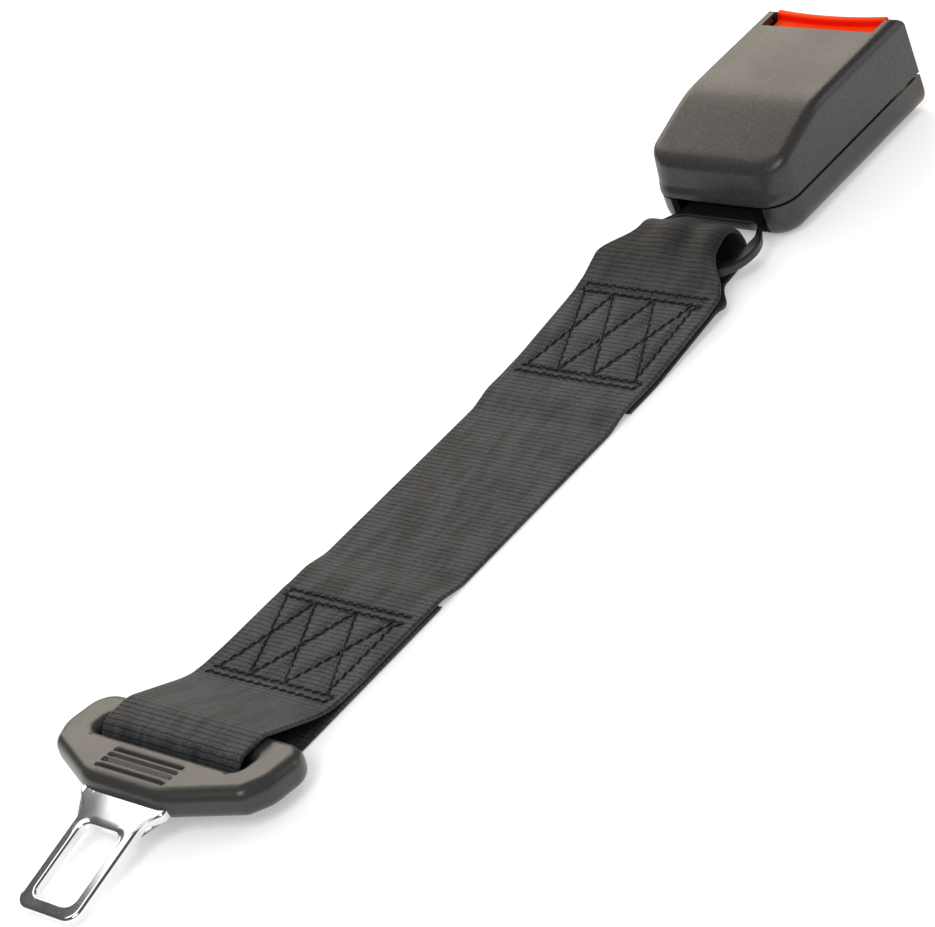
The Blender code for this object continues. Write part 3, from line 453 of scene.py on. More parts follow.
buttonFinish = {
    "lip": (1.0, 0.06, 0.003),
    "face": (1.0, 0.006, 0.0006),
    "low": 26.9 * mm,  # the painted shade, a deeper red, is between these heights
    "high": 28.5 * mm,
    "blend": 0.3 * mm,
}


# The upright face of the button's scoop is painted a deeper red than the trough and the lip: painted shade
# on the face that gets less light.
def buttonMaterial():
    material, tree, links, shader = newMaterial("orangeButton")
    look, height = buttonFinish, axes(tree, coordinates(tree, "Object"))[2]
    above = spread(tree, height, look["low"] - look["blend"], look["low"] + look["blend"])
    below = spread(tree, height, look["high"] + look["blend"], look["high"] - look["blend"])
    # painted shade: a deeper red on the upright face of the scoop
    face = times(tree, above, below)
    links.new(mixColours(tree, face, look["lip"], look["face"]), shader.inputs["Base Color"])
    setInputs(shader, {"Roughness": 0.45, "Specular IOR Level": 0.06})
    return material


# Metal, or a coat on it. Smudges add to the roughness and dull the colour a little.
def metalMaterial(name, colour, roughness, smudge, metallic=1.0):
    material, tree, links, shader = newMaterial(name)
    handled = placeGroup(tree, "smudge", coordinates(tree, "Object"))
    marks = times(tree, handled.outputs["Smudge"], smudge)
    marks = plus(tree, marks, roughness)
    lines = times(tree, handled.outputs["Scratch"], smudge * 0.5)
    links.new(plus(tree, lines, marks), shader.inputs["Roughness"])
    dull = tuple(c * 0.93 for c in colour)
    links.new(mixColours(tree, handled.outputs["Smudge"], colour, dull), shader.inputs["Base Color"])
    shader.inputs["Metallic"].default_value = metallic
    return material


finishes = {
    "webbing": webbingMaterial(),
    "thread": threadMaterial(),
    "casing": plasticMaterial("grainedCasing", (0.036, 0.034, 0.033), 0.34, 0.5, 0.14),
    "cover": plasticMaterial("satinCover", (0.038, 0.037, 0.036), 0.32, 0.22, 0.06),
    "button": buttonMaterial(),
    "ejector": plasticMaterial("paleEjector", (0.7, 0.7, 0.67), 0.45, 0.1),
    "chrome": metalMaterial("brightChrome", (0.86, 0.86, 0.87), 0.05, 0.04),
    # the anchor's black coat, made darker still as painted shade under the casing
    "anchor": metalMaterial("blackCoatAndPaintedShade", (0.01, 0.01, 0.01), 0.3, 0.1, 0.0),
    "steel": metalMaterial("platedSteel", (0.5, 0.5, 0.51), 0.32, 0.12),
    "spring": metalMaterial("springWire", (0.42, 0.42, 0.43), 0.25, 0.1),
}
print("finishes made:", len(finishes))


# Gives a new piece its finish and the body it rides on, and hides the CAD nodes it stands for. The slot is
# not used.
def dress(piece, finish, body, slot, *nodes):
    piece.data.materials.clear()
    piece.data.materials.append(finishes[finish])
    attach(piece, body)
    if nodes:
        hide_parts(*nodes)


# Webbing: one strip along a centre line that goes round both bars and folds back under itself
tongueBar = (-113.516 * mm, 6.108 * mm)
anchorBar = (81.184 * mm, 5.6 * mm)
webbing = {
    "width": 47 * mm,
    "thickness": 1.2 * mm,
    "gatheredWidth": 28.5 * mm,
    "gatherFrom": 183.5 * mm,  # from the tongue bar
    "gatherLength": 14.5 * mm,
    "gatherDelay": 8 * mm,  # how much later the +y edge draws in
    "gatherHurry": 4 * mm,  # and how much shorter its gather is
    "crest": 15.4 * mm,
    "foldDepth": 0.6 * mm,
    "foldWaves": 2,
    "foldPhase": -1.0,
    "edgeDroop": (1.8 * mm, 1.5 * mm),  # at the -y and the +y edge
    "puff": 0.22 * mm,  # how far it swells between the lines of stitches, and how far from one
    "puffReach": 4 * mm,
    "dent": 0.2 * mm,  # how far a line of stitches presses it down, and how wide
    "dentReach": 0.8 * mm,
    "ripple": 0.18 * mm,  # long shallow waves on its upper layer, between these places
    "rippleFrom": 4 * mm,
    "rippleTo": 185 * mm,
    "rippleFade": 30 * mm,
    "step": 0.8 * mm,
    "edgeRound": 0.6 * mm,
    "corners": [  # x from the tongue bar, height and radius, in mm, as in the part's source
        (62.7, 0.6, 0), (-9.1, 0.6, 4.5), (-9.1, 11.617, 4.0), (1.5, 11.617, 7),  # round its bar
        (20.5, 2.6, 28), (33, 2.1, 60), (64, 2.1, 12), (71, 0.6, 12),  # over the first tail
        (132.5, 0.6, 12), (139.5, 2.1, 12), (152.7, 2.1, 60), (181.7, 5.0, 40),  # over the second
        (207.2, 15.4, 6), (210.2, 1.6, 4.5), (198.7, 0.6, 20), (190.2, 0.6, 12),  # round the anchor's
        (182.2, 3.5, 10), (152.9, 0.6, 60), (140.7, 0.6, 0),
    ],
}


# Points of an open path whose corners (x, z, r) are arcs, a point every few degrees.
def openPath(corners, step=4):
    spots = np.array([c[:2] for c in corners], float)
    rows = [spots[:1]]
    for i in range(1, len(corners) - 1):
        a, b, turn = cornerTurn(spots[i - 1], spots[i], spots[i + 1])
        shares = np.linspace(0, 1, int(math.degrees(turn) / step) + 2)
        rows.append(cornerArc(spots[i], a, b, turn, corners[i][2], shares))
    rows.append(spots[-1:])
    return np.vstack(rows) * mm


# The same path with points at even steps of its length, and that length.
def evenly(path, step):
    run = pathRun(path)
    s = np.linspace(0, run[-1], int(run[-1] / step) + 1)
    return np.stack([np.interp(s, run, path[:, 0]), np.interp(s, run, path[:, 1])], axis=1), s


def smoothStep(t):
    t = np.clip(t, 0, 1)
    return t * t * (3 - 2 * t)


strapLine, strapRun = evenly(openPath(webbing["corners"]), webbing["step"])


# Height of the upper layer's top side at x from the tongue bar.
def strapTop(x):
    upper = (strapLine[:, 1] > 0) & (np.gradient(strapLine[:, 0]) > 0)
    upper &= (strapRun > stitching["from"]) & (strapLine[:, 0] < stitching["to"])
    px, pz = strapLine[upper, 0], strapLine[upper, 1]
    slope = np.gradient(pz, px)
    return np.interp(x, px, pz) + webbing["thickness"] / 2 * np.hypot(1, np.interp(x, px, slope))


# Stitching: x from the tongue bar and y, in mm; double rows at both ends, two crossing zigzags
stitching = {
    "boxes": [  # name, the CAD node it stands for, and the x it lies between
        ("tongueEndStitching", "tongue_end_stitching", 22.7, 55.2),
        ("buckleEndStitching", "buckle_end_stitching", 148.2, 182.7),
    ],
    "from": 80 * mm,  # the upper layer starts past this length of the strip
    "to": 190 * mm,  # and is followed up to this x
    "rowPitch": 2.4,
    "rowHalf": 20.8,
    "first": (18.7, 10, -4, -17),
    "second": (8, 20, -18.6, -4),
    "edgeLine": -17.8,
    "pitch": 2.8 * mm,
    "radius": 0.3 * mm,
    "slant": 0.22 * mm,
    "sink": 0.55 * mm,
    "rise": 0.34 * mm,
    "bed": 0.1 * mm,
    "wander": 0.6,  # share by which the slant differs from stitch to stitch
    "pieces": 12,  # of the tube, for each stitch
    "sides": 8,
}


# The lines of one sewn box, as lists of corners.
def stitchRuns(near, far):
    s = stitching
    half = s["rowHalf"]
    inNear, inFar = near + s["rowPitch"], far - s["rowPitch"]
    runs = [
        [(near, half), (near, -half + 0.4), (inNear, -half), (inNear, half - 0.5)],
        [(far, -half), (far, half - 0.3), (inFar, half), (inFar, -half + 0.6)],
    ]
    a, b = s["first"], s["second"]
    runs.append([(inNear, a[0]), (inFar, a[1]), (inNear, a[2]), (inFar, a[3])])
    runs.append([(inFar, b[1]), (inNear, b[0]), (inFar, b[3]), (inNear, b[2])])
    runs.append([(inFar, -half + 0.6), (inFar - 1.5, s["edgeLine"]), (inNear, s["edgeLine"])])
    return [np.array(run) * mm for run in runs]


# Least distance in plan from each point to any line of stitches.
def distanceToRuns(x, y, runs):
    best = np.full(np.shape(x), 1.0)
    for run in runs:
        for p, q in zip(run[:-1], run[1:]):
            d = q - p
            t = np.clip(((x - p[0]) * d[0] + (y - p[1]) * d[1]) / (d @ d), 0, 1)
            best = np.minimum(best, np.hypot(x - p[0] - t * d[0], y - p[1] - t * d[1]))
    return best


# Distances across the strap, close together where its edges are rounded.
def acrossStations(half, edgeRound, spacing=0.85 * mm):
    near = np.array([0, 0.04, 0.16, 0.36, 0.65, 1.0]) * edgeRound
    inner = np.linspace(-half + 1.8 * edgeRound, half - 1.8 * edgeRound, int(2 * half / spacing))
    return np.concatenate([-half + near, inner, half - near[::-1]])


# The strip: half its thickness either side of a middle surface, along the centre line's normal.
# The middle surface is the centre line carried across the width. Near the anchor's bar the width
# shrinks by a smooth step, and a cosine across the width lifts it into soft folds. The sewn boxes
# press it down by a bell curve of the distance to the thread, and it puffs up between the lines by
# a smooth step of that distance. Its thickness follows a quarter circle at each edge.
def buildWebbing():
    w = webbing
    along = unit(np.gradient(strapLine, axis=0))
    flat = acrossStations(w["width"] / 2, w["edgeRound"])
    x, z = strapLine[:, 0][:, None], strapLine[:, 1][:, None]
    v = (flat / (w["width"] / 2))[None, :]
    late = (1 + v) / 2
    start = w["gatherFrom"] + w["gatherDelay"] * late
    drawn = smoothStep((x - start) / (w["gatherLength"] - w["gatherHurry"] * late))
    half = w["width"] / 2 + (w["gatheredWidth"] - w["width"]) / 2 * drawn
    floorLine = w["thickness"] / 2
    strength = drawn * np.clip((z - floorLine) / (w["crest"] - floorLine), 0, 1)
    fold = w["foldDepth"] * np.cos(math.pi * w["foldWaves"] * v + w["foldPhase"])
    lift = strength * (fold - np.where(v < 0, *w["edgeDroop"]) * v**4)
    y = v * half
    upper = (np.gradient(strapLine[:, 0]) > 0)[:, None]
    press = np.zeros(lift.shape)
    for _, _, near, far in stitching["boxes"]:
        runs = stitchRuns(near, far)
        gap = distanceToRuns(x, y, runs)
        inside = smoothStep((x / mm - near + 2) / 2) * smoothStep((far + 2 - x / mm) / 2)
        puff = w["puff"] * smoothStep(gap / w["puffReach"])
        dent = w["dent"] * np.exp(-((gap / w["dentReach"]) ** 2))
        press += np.where(upper, (puff - dent) * inside, 0)
    ripple = w["ripple"] * np.sin(x * 95 + 2.4 * v) * np.sin(x * 31 + 1.0) * (1 - v * v) * upper
    ripple *= smoothStep((x - w["rippleFrom"]) / w["rippleFade"])
    lift = lift + ripple * smoothStep((w["rippleTo"] - x) / w["rippleFade"])
    edge = w["width"] / 2 - np.abs(flat)
    thick = np.sqrt(np.clip(1 - (1 - np.clip(edge / w["edgeRound"], 0, 1)) ** 2, 0, 1))[None, :]
    body = np.ones((len(strapLine), 1))
    body[0] = body[-1] = 0
    depth = w["thickness"] / 2 * thick * body
    top = lift + depth + press
    bottom = lift - depth
    nx, nz = -along[:, 1][:, None], along[:, 0][:, None]

    def sheetAt(offset):
        px = x + nx * offset + tongueBar[0]
        pz = z + nz * offset
        return np.dstack([px, np.broadcast_to(y, px.shape), pz])

    points = np.concatenate([sheetAt(top), sheetAt(bottom)[:, -2:0:-1]], axis=1)
    uv = np.dstack(np.broadcast_arrays(strapRun[:, None], flat[None, :]))
    uv = np.concatenate([uv, uv[:, -2:0:-1]], axis=1)
    piece = gridObject("webbingStrip", points, wrapV=True, uv=uv)
    dress(piece, "webbing", "strap", "webbing", "webbing")


# A thread along a run of stitches: a round tube whose height dips below the cloth at each hole.
# The height is a rounded sine of the place in the stitch, from the sink below the cloth's top up
# to the rise above it. A whole sine moves the thread sideways, by the slant.
def threadTube(run):
    s = stitching
    length = pathRun(run)
    count = max(2, round(length[-1] / s["pitch"]))
    q = np.linspace(0, length[-1], count * s["pieces"] + 1)
    x, y = np.interp(q, length, run[:, 0]), np.interp(q, length, run[:, 1])
    stitch, part = np.divmod(np.arange(len(q)), s["pieces"])
    inStitch = part / s["pieces"]
    bulge = np.sin(math.pi * inStitch) ** 0.6
    z = strapTop(x) - s["sink"] + (s["sink"] + s["rise"]) * bulge - s["bed"]
    line = np.stack([x, y, z], axis=1)
    along = unit(np.gradient(line, axis=0))
    side = unit(np.cross(along, [0, 0, 1.0]))
    uneven = 1 + s["wander"] * np.sin(stitch * 2.3 + run[0, 0] * 900)
    line = line + side * (s["slant"] * uneven * np.sin(2 * math.pi * inStitch))[:, None]
    up = np.cross(side, along)
    angle = np.linspace(0, 2 * math.pi, s["sides"], endpoint=False)
    ring = side[:, None] * np.cos(angle)[None, :, None] + up[:, None] * np.sin(angle)[None, :, None]
    size = np.full(len(q), s["radius"])
    size[0] = size[-1] = 1e-9
    points = line[:, None] + ring * size[:, None, None]
    points[..., 0] += tongueBar[0]
    uv = np.dstack(np.broadcast_arrays(q[:, None], (angle / (2 * math.pi))[None, :]))
    return gridObject("thread", points, wrapV=True, uv=uv)


def buildStitching():
    for name, node, near, far in stitching["boxes"]:
        piece = joined(name, [threadTube(run) for run in stitchRuns(near, far)])
        dress(piece, "thread", "strap", "stitching", node)


buildWebbing()
buildStitching()


# Tongue: its pieces are worked out in the frame of the tongue bar and then tilted with the cover
tongue = {
    "tilt": math.radians(8.5),
    "coverHalf": 4.0 * mm,
    "coverRound": 3.2 * mm,
    "slotRound": 2.4 * mm,
    "grooves": 4,
    "grooveFirst": -15.45 * mm,
    "groovePitch": 2.1 * mm,
    "grooveWidth": 0.9 * mm,
    "grooveHalf": 11.8 * mm,
    "grooveDepth": 0.75 * mm,
    "grooveSlope": 0.09 * mm,  # half the width of its sides
    "grooveEnd": 0.5 * mm,
    "plateHalf": 1.3 * mm,
    "plateOffset": -0.6 * mm,
    "bendX": -22.25 * mm,
    "bendSpread": 2.0 * mm,
    "bladeLength": 35.9 * mm,
    "bladeDrop": math.radians(12.112),
    "plateRound": (0.65 * mm, 0.5 * mm),  # outer edge and window
    # outlines: x from the bar, half width and corner radius, in mm
    "coverOuter": [(-25.85, 12.5, 14), (-17.05, 32.3, 5), (-10.75, 35.7, 10), (4.2, 35.7, 7)],
    "coverSlot": [(-10.75, 12.5, 2.6), (-10.75, 21, 1.5), (-10.75, 24.75, 2.2), (-4.2, 24.75, 2.2)],
    "bladeRoot": [(-29.95, 10.3, 4), (-26.45, 14.3, 2), (-20.1, 14.3, 0.6)],
    "bladeWindow": [(3.6, 6.7, 2.8), (18.6, 6.7, 1), (24.5, 6.7, 2.8), (24.5, 2.5, 0.5)],  # from the tip
}


# Points of the tongue's frame, turned nose up about the bar and moved to it.
def tilted(points):
    c, s = math.cos(tongue["tilt"]), math.sin(tongue["tilt"])
    x = points[..., 0] * c + points[..., 2] * s + tongueBar[0]
    z = -points[..., 0] * s + points[..., 2] * c + tongueBar[1]
    return np.stack([x, points[..., 1], z], axis=-1)


def halfRing(corners, straight, arc):
    return mirroredRing(cornerRing([(x * mm, y * mm, r * mm) for x, y, r in corners], straight, arc))


# The cover: a rounded slab round the strap's slot, with grooves sunk into its top by smooth steps.
def buildCover():
    t = tongue
    counts = [20, 26, 8, 16, 18]
    outer, inner = (halfRing(t[outline], counts, 14) for outline in ("coverOuter", "coverSlot"))
    start = t["coverSlot"][0][0] * mm - t["slotRound"]
    end = t["coverOuter"][0][0] * mm + t["coverRound"]
    centres = t["grooveFirst"] - t["groovePitch"] * np.arange(t["grooves"])
    edge, slope = t["grooveWidth"] / 2, t["grooveSlope"]
    steps = np.array([-edge - slope, -edge + slope, 0, edge - slope, edge + slope])
    marks = ((centres[:, None] + steps[None, :]).reshape(-1) - start) / (end - start)
    across = np.unique(np.concatenate([np.linspace(0, 1, 12)[1:-1], marks[(marks > 0) & (marks < 1)]]))

    def shape(points):
        x, y, z = points[..., 0], points[..., 1], points[..., 2]
        sunk = np.zeros(x.shape)
        for centre in centres:
            wide = smoothStep((edge + slope - np.abs(x - centre)) / (2 * slope))
            long = smoothStep((t["grooveHalf"] - np.abs(y)) / t["grooveEnd"])
            sunk = np.maximum(sunk, wide * long)
        z = z - t["grooveDepth"] * sunk * (z > t["coverHalf"] - 0.1 * mm)
        return tilted(np.stack([x, y, z], axis=-1))

    rounds = t["coverRound"], t["slotRound"]
    piece = ringSlab("tongueCover", outer, inner, *rounds, t["coverHalf"], across, shape)
    dress(piece, "cover", "tongue", "cover_plastic", "tongue_cover")


# The plate's points with the blade bent down.
# Past the bend's start, x becomes a short arc and then a ramp, and the height is set off along
# the normal of that line.
def bent(points):
    t = tongue
    bend = t["bladeDrop"] + t["tilt"]
    start = t["bendX"] + t["bendSpread"] / 2
    radius = t["bendSpread"] / bend
    past = np.clip(start - points[..., 0], 0, None)
    arc = np.clip(past, 0, t["bendSpread"])
    angle = arc / radius
    x = np.where(past > 0, start - radius * np.sin(angle) - (past - arc) * np.cos(angle), points[..., 0])
    z = t["plateOffset"] - radius * (1 - np.cos(angle)) - (past - arc) * np.sin(angle)
    off = points[..., 2]
    return tilted(np.stack([x - off * np.sin(angle), points[..., 1], z + off * np.cos(angle)], axis=-1))


# The blade and its root inside the cover: a slab round the window, bent as one.
def buildBlade():
    t = tongue
    tip = (t["bendX"] - t["bladeLength"]) / mm
    counts = [8, 30, 6, 8, 10]
    root = t["bladeRoot"]
    outer = halfRing([(tip, root[0][1], 4), *root], counts, 10)
    inner = halfRing([(tip + x, y, r) for x, y, r in t["bladeWindow"]], counts, 10)
    across = np.linspace(0, 1, 8)[1:-1]
    piece = ringSlab("chromedBlade", outer, inner, *t["plateRound"], t["plateHalf"], across, bent)
    dress(piece, "chrome", "tongue", "chromed_steel", "tongue_plate")


buildCover()
buildBlade()
print("tongue made")


# Buckle: x from the anchor's bar, z from the floor, half sizes from y = 0
buckle = {
    "rear": 22.3 * mm,
    "mouth": 89.8 * mm,
    "half": 22.9 * mm,
    "rearRound": 8.5 * mm,
    "tipRound": 3.0 * mm,  # of the arms' tips, in side view
    "footRound": 2.5 * mm,
    "parting": 10.8 * mm,
    "partingGap": 0.85 * mm,
    "partingBevel": 0.3 * mm,
    "roof": 29.0 * mm,
    "roofFall": 7.2 * mm,
    "fallLength": 22.5 * mm,
    "lean": 3.0 * mm,
    "topRound": 3.0 * mm,
    "bottomRound": 6.0 * mm,
    "wall": 2.0 * mm,
    "roofFront": 80.6 * mm,
    "arm": 4.0 * mm,
    "lip": 9.3 * mm,
    "openingHalf": 15.6 * mm,
    "openingLow": 2.55 * mm,
    "spine": 46 * mm,
    "ridge": 0.45 * mm,  # how far the rear stands out below a line
    "ridgeHeight": 2.3 * mm,
    "ridgeSlope": 0.25 * mm,  # half the height of its edge
    "rows": 20 * mm,  # height that the wall's even rows are worked out for
    "roofSoft": 1.1 * mm,
    "throatHalf": 16.9 * mm,
    "throatFrom": 89 * mm,
    "openingTo": 32 * mm,
    "lowRows": (8.2 * mm, 7.1 * mm),  # of the lower casing's wall
    "lowSpine": (40 * mm, 75 * mm),
}


def atAnchor(points):
    points = points.copy()
    points[..., 0] += anchorBar[0]
    return points


# Height of the roof along the buckle: a ramp that runs into the flat roof through a wide arc.
def roofHeight(x):
    b = buckle
    start = b["rear"] + b["lean"]
    slope = b["roofFall"] / b["fallLength"]
    ramp = b["roof"] - b["roofFall"] + slope * (x - start)
    soft, gap = b["roofSoft"], b["roof"] - ramp
    return b["roof"] - (gap + np.sqrt(gap * gap + soft * soft)) / 2 + soft * 0.12


# Stations round the casing's plan, each as a place on the outline and its outward normal.
# From the mouth's face at y = frontHalf, along the +y side, round the rear and back the same way.
def casingRing(frontHalf):
    b = buckle
    rearR, half = b["rearRound"], b["half"]
    rows = [(b["mouth"], y, 1, 0) for y in np.linspace(frontHalf, half, 5)]
    xs = [
        np.linspace(b["mouth"], b["mouth"] - 2 * b["tipRound"], 13),
        np.linspace(b["mouth"] - 2 * b["tipRound"], b["roofFront"], 6)[1:],
        np.linspace(b["roofFront"], b["rear"] + rearR, 60)[1:],
    ]
    rows += [(x, half, 0, 1) for x in np.concatenate(xs)]
    atOpening = math.pi - math.asin((b["openingHalf"] - half + rearR) / rearR)
    sweep = np.sort(np.append(np.linspace(math.pi / 2, math.pi, 25)[1:], atOpening))
    centre = (b["rear"] + rearR, half - rearR)
    for t in sweep:
        c, s = math.cos(t), math.sin(t)
        rows.append((centre[0] + rearR * c, centre[1] + rearR * s, c, s))
    rows += [(b["rear"], y, -1, 0) for y in np.linspace(half - rearR, 0, 14)[1:]]
    rows = np.array(rows)
    return np.vstack([rows, rows[-2::-1] * np.array([1, -1, 1, -1])])


# The ring moved inwards; the stations on the mouth's face close up towards frontHalf instead.
def insetRing(ring, inset, frontHalf):
    b = buckle
    x, y, nx, ny = ring.T
    move = np.minimum(inset, np.where((nx < -1e-9) & (np.abs(ny) > 1e-9), b["rearRound"], 1.0))
    rest = inset - move
    px = x - nx * move - np.sign(nx) * rest * (np.abs(nx) > 1e-9)
    py = y - ny * move - np.sign(ny) * rest * (np.abs(ny) > 1e-9)
    share = (np.abs(y) - frontHalf) / (b["half"] - frontHalf)
    closed = np.sign(y) * (frontHalf + share * (b["half"] - inset - frontHalf))
    return np.where(nx > 0.5, x, px), np.where(nx > 0.5, closed, py)


# Draws the last stretch before the mouth back to its side view, round at the tips and the foot.
def mouthLimit(x, z):
    b = buckle
    over = np.clip(z - b["roof"] + b["tipRound"], 0, b["tipRound"])
    under = np.clip(b["footRound"] - z, 0, b["footRound"])
    limit = b["mouth"] - b["tipRound"] + np.sqrt(b["tipRound"] ** 2 - over**2)
    limit = limit - b["footRound"] + np.sqrt(b["footRound"] ** 2 - under**2)
    start = b["mouth"] - 2 * b["tipRound"]
    return np.where(x > start, start + (x - start) * (limit - start) / (b["mouth"] - start), x)


def shellRow(px, py, z):
    z = np.broadcast_to(z, px.shape)
    return np.stack([mouthLimit(px, z), py, z], axis=1)


# Wall thickness to the inside, and softened rims.
def shellFinish(piece, thickness):
    solid = piece.modifiers.new("wall", "SOLIDIFY")
    solid.thickness = thickness
    solid.offset = -1
    bevel = piece.modifiers.new("rim", "BEVEL")
    bevel.width = buckle["partingBevel"]
    bevel.segments = 2
    bevel.limit_method = "ANGLE"
    bevel.angle_limit = math.radians(50)
    bevel.harden_normals = True


# The upper casing: its plan carried up a wall, over a rounded edge and along the roof.
# The wall rises from the parting line to the roof's height less the edge's radius, leaning forward
# at the rear; the edge is a quarter circle; the roof blends from there to a spine at y = 0.
def buildUpperShell():
    b = buckle
    armInner = b["half"] - b["arm"]
    ring = casingRing(armInner)
    nx = ring[:, 2]
    r, low = b["topRound"], b["parting"] + b["partingGap"] / 2
    lean = b["lean"] / (b["roof"] - b["roofFall"] - b["parting"])

    def leaned(px, z):
        return px + lean * (z - b["parting"]) * np.clip(-nx, 0, 1)

    rows = []
    x0, y0 = insetRing(ring, 0, armInner)
    top = roofHeight(leaned(x0 + r * 0.4, b["rows"]))
    slope = b["ridgeSlope"]
    step = (b["ridgeHeight"] + np.array([-slope, 0, slope])) / (b["rows"] - r - low)
    for share in np.sort(np.append(np.linspace(0, 1, 11), step)):
        z = low + (top - r - low) * share
        ridge = b["ridge"] * smoothStep((low + b["ridgeHeight"] + slope - z) / (2 * slope))
        rows.append(shellRow(leaned(x0, z) - ridge * np.clip(-nx, 0, 1), y0, z))
    for a in np.linspace(0, math.pi / 2, 9)[1:]:
        px, py = insetRing(ring, r * (1 - math.cos(a)), armInner)
        z = top - r * (1 - math.sin(a))
        x = leaned(px, z)
        rows.append(shellRow(x, py, z + (roofHeight(x) - top) * math.sin(a) ** 2))
    px, py = insetRing(ring, b["arm"], armInner)
    x = leaned(px, top)
    rows.append(shellRow(x, py, roofHeight(x)))
    spineX = np.maximum(x0, b["spine"])
    for share in np.linspace(0, 1, 12)[1:]:
        sx = x + (spineX - x) * share
        rows.append(shellRow(sx, py * (1 - share), roofHeight(sx)))
    points = atAnchor(np.stack(rows, axis=1))
    middle = (points[:-1, :-1] + points[1:, 1:]) / 2
    column = np.arange(middle.shape[1])
    roofFrom = len(rows) - 12  # the rows past the arms' inner sides
    keep = ~((middle[..., 0] > anchorBar[0] + b["roofFront"]) & (column >= roofFrom))
    piece = gridObject("upperCasing", points, keep=keep)
    shellFinish(piece, b["wall"])
    dress(piece, "casing", "buckle", "casing_plastic", "upper_shell")


# The lower casing: its plan carried down a wall, round the bottom edge and in to the middle.
def buildLowerShell():
    b = buckle
    ring = casingRing(0)
    r, high = b["bottomRound"], b["parting"] - b["partingGap"] / 2
    rows = []
    for z in (high, b["lip"], *b["lowRows"], r):
        rows.append(shellRow(*insetRing(ring, 0, 0), z))
    stop = math.asin(1 - b["openingLow"] / r)
    for a in sorted([*np.linspace(0, math.pi / 2, 9)[1:], stop]):
        rows.append(shellRow(*insetRing(ring, r * (1 - math.cos(a)), 0), r * (1 - math.sin(a))))
    px, py = insetRing(ring, r, 0)
    spineX = np.clip(px, *b["lowSpine"])
    for share in (0.3, 0.65, 1):
        rows.append(shellRow(px + (spineX - px) * share, py * (1 - share), 0))
    points = np.stack(rows, axis=1)
    ahead = np.roll(points, -1, axis=0)
    middle = (points[:, :-1] + ahead[:, 1:]) / 2
    mx, my, mz = middle[..., 0], np.abs(middle[..., 1]), middle[..., 2]
    opening = (mx < b["openingTo"]) & (my < b["openingHalf"]) & (mz > b["openingLow"])
    throat = (mx > b["throatFrom"]) & (my < b["throatHalf"]) & (mz > b["lip"])
    piece = gridObject("lowerCasing", atAnchor(points), wrapU=True, keep=~(opening | throat))
    shellFinish(piece, b["wall"])
    dress(piece, "casing", "buckle", "casing_plastic", "lower_shell")


anchor = {
    "half": 1.25 * mm,
    "round": 0.6 * mm,
    # outlines: x from the bar, half width and corner radius, in mm
    "outer": [(-3.5, 20.5, 13), (13.5, 20.5, 11), (22.3, 13.8, 6), (43.8, 13.8, 2)],
    "slot": [(3.5, 16.5, 2.2), (13, 16.5, 1.5), (21, 16.5, 6), (21, 6, 1)],
}


# The anchor plate: a slab round its slot, with softened edges.
def buildAnchor():
    counts = [6, 10, 8, 14, 10]
    outer, inner = (halfRing(anchor[outline], counts, 12) for outline in ("outer", "slot"))

    def shape(points):
        points = atAnchor(points)
        points[..., 2] += anchorBar[1]
        return points

    across = np.linspace(0, 1, 6)[1:-1]
    rounding = anchor["round"]
    piece = ringSlab("anchorPlate", outer, inner, rounding, rounding, anchor["half"], across, shape)
    dress(piece, "anchor", "buckle", "anchor_steel", "anchor_plate")


# A closed outline with rounded corners, for a profile that is carried across the buckle.
def softProfile(corners, arc=7):
    spots = np.array([c[:2] for c in corners], float) * mm
    rows = []
    for i, corner in enumerate(corners):
        here = spots[i]
        a, b, turn = cornerTurn(spots[i - 1], here, spots[(i + 1) % len(spots)])
        if turn < inLine:
            rows.append(here[None])
        else:
            rows.append(cornerArc(here, a, b, turn, corner[2] * mm, np.linspace(0, 1, arc)))
    return np.vstack(rows)


# A closed profile carried across y, its ends rounded by a quarter circle of inset, and capped.
# With bow, the part past bowStart is drawn back in the middle by a parabola across y.
def carried(name, profile, low, high, rounding, bow=0.0):
    px, pz = profile.T
    area = np.sum(px * np.roll(pz, -1) - pz * np.roll(px, -1))
    along = unit(np.roll(profile, -1, axis=0) - np.roll(profile, 1, axis=0))
    normal = np.stack([along[:, 1], -along[:, 0]], axis=1) * np.sign(area)
    q = np.linspace(0, math.pi / 2, 5)
    ends = rounding * (1 - np.cos(q))
    middle = np.linspace(low + rounding, high - rounding, 25)[1:-1]
    ys = np.concatenate([low + ends, middle, high - ends[::-1]])
    inset = rounding * (1 - np.sin(q))
    inset = np.concatenate([inset, np.zeros(len(middle)), inset[::-1]])
    rows = profile[None] - normal[None] * inset[:, None, None]
    points = np.dstack([rows[..., 0], np.broadcast_to(ys[:, None], rows.shape[:2]), rows[..., 1]])
    if bow:
        past = smoothStep((points[..., 0] - button["bowStart"]) / button["bowLength"])
        points[..., 0] -= bow * past * (1 - (points[..., 1] / high) ** 2)
    piece = gridObject(name, atAnchor(points), wrapV=True, merge=1e-8)
    bm = bmesh.new()
    bm.from_mesh(piece.data)
    rim = [e for e in bm.edges if len(e.link_faces) == 1]
    bmesh.ops.holes_fill(bm, edges=rim, sides=0)
    bmesh.ops.recalc_face_normals(bm, faces=bm.faces)
    bm.to_mesh(piece.data)
    bm.free()
    return piece


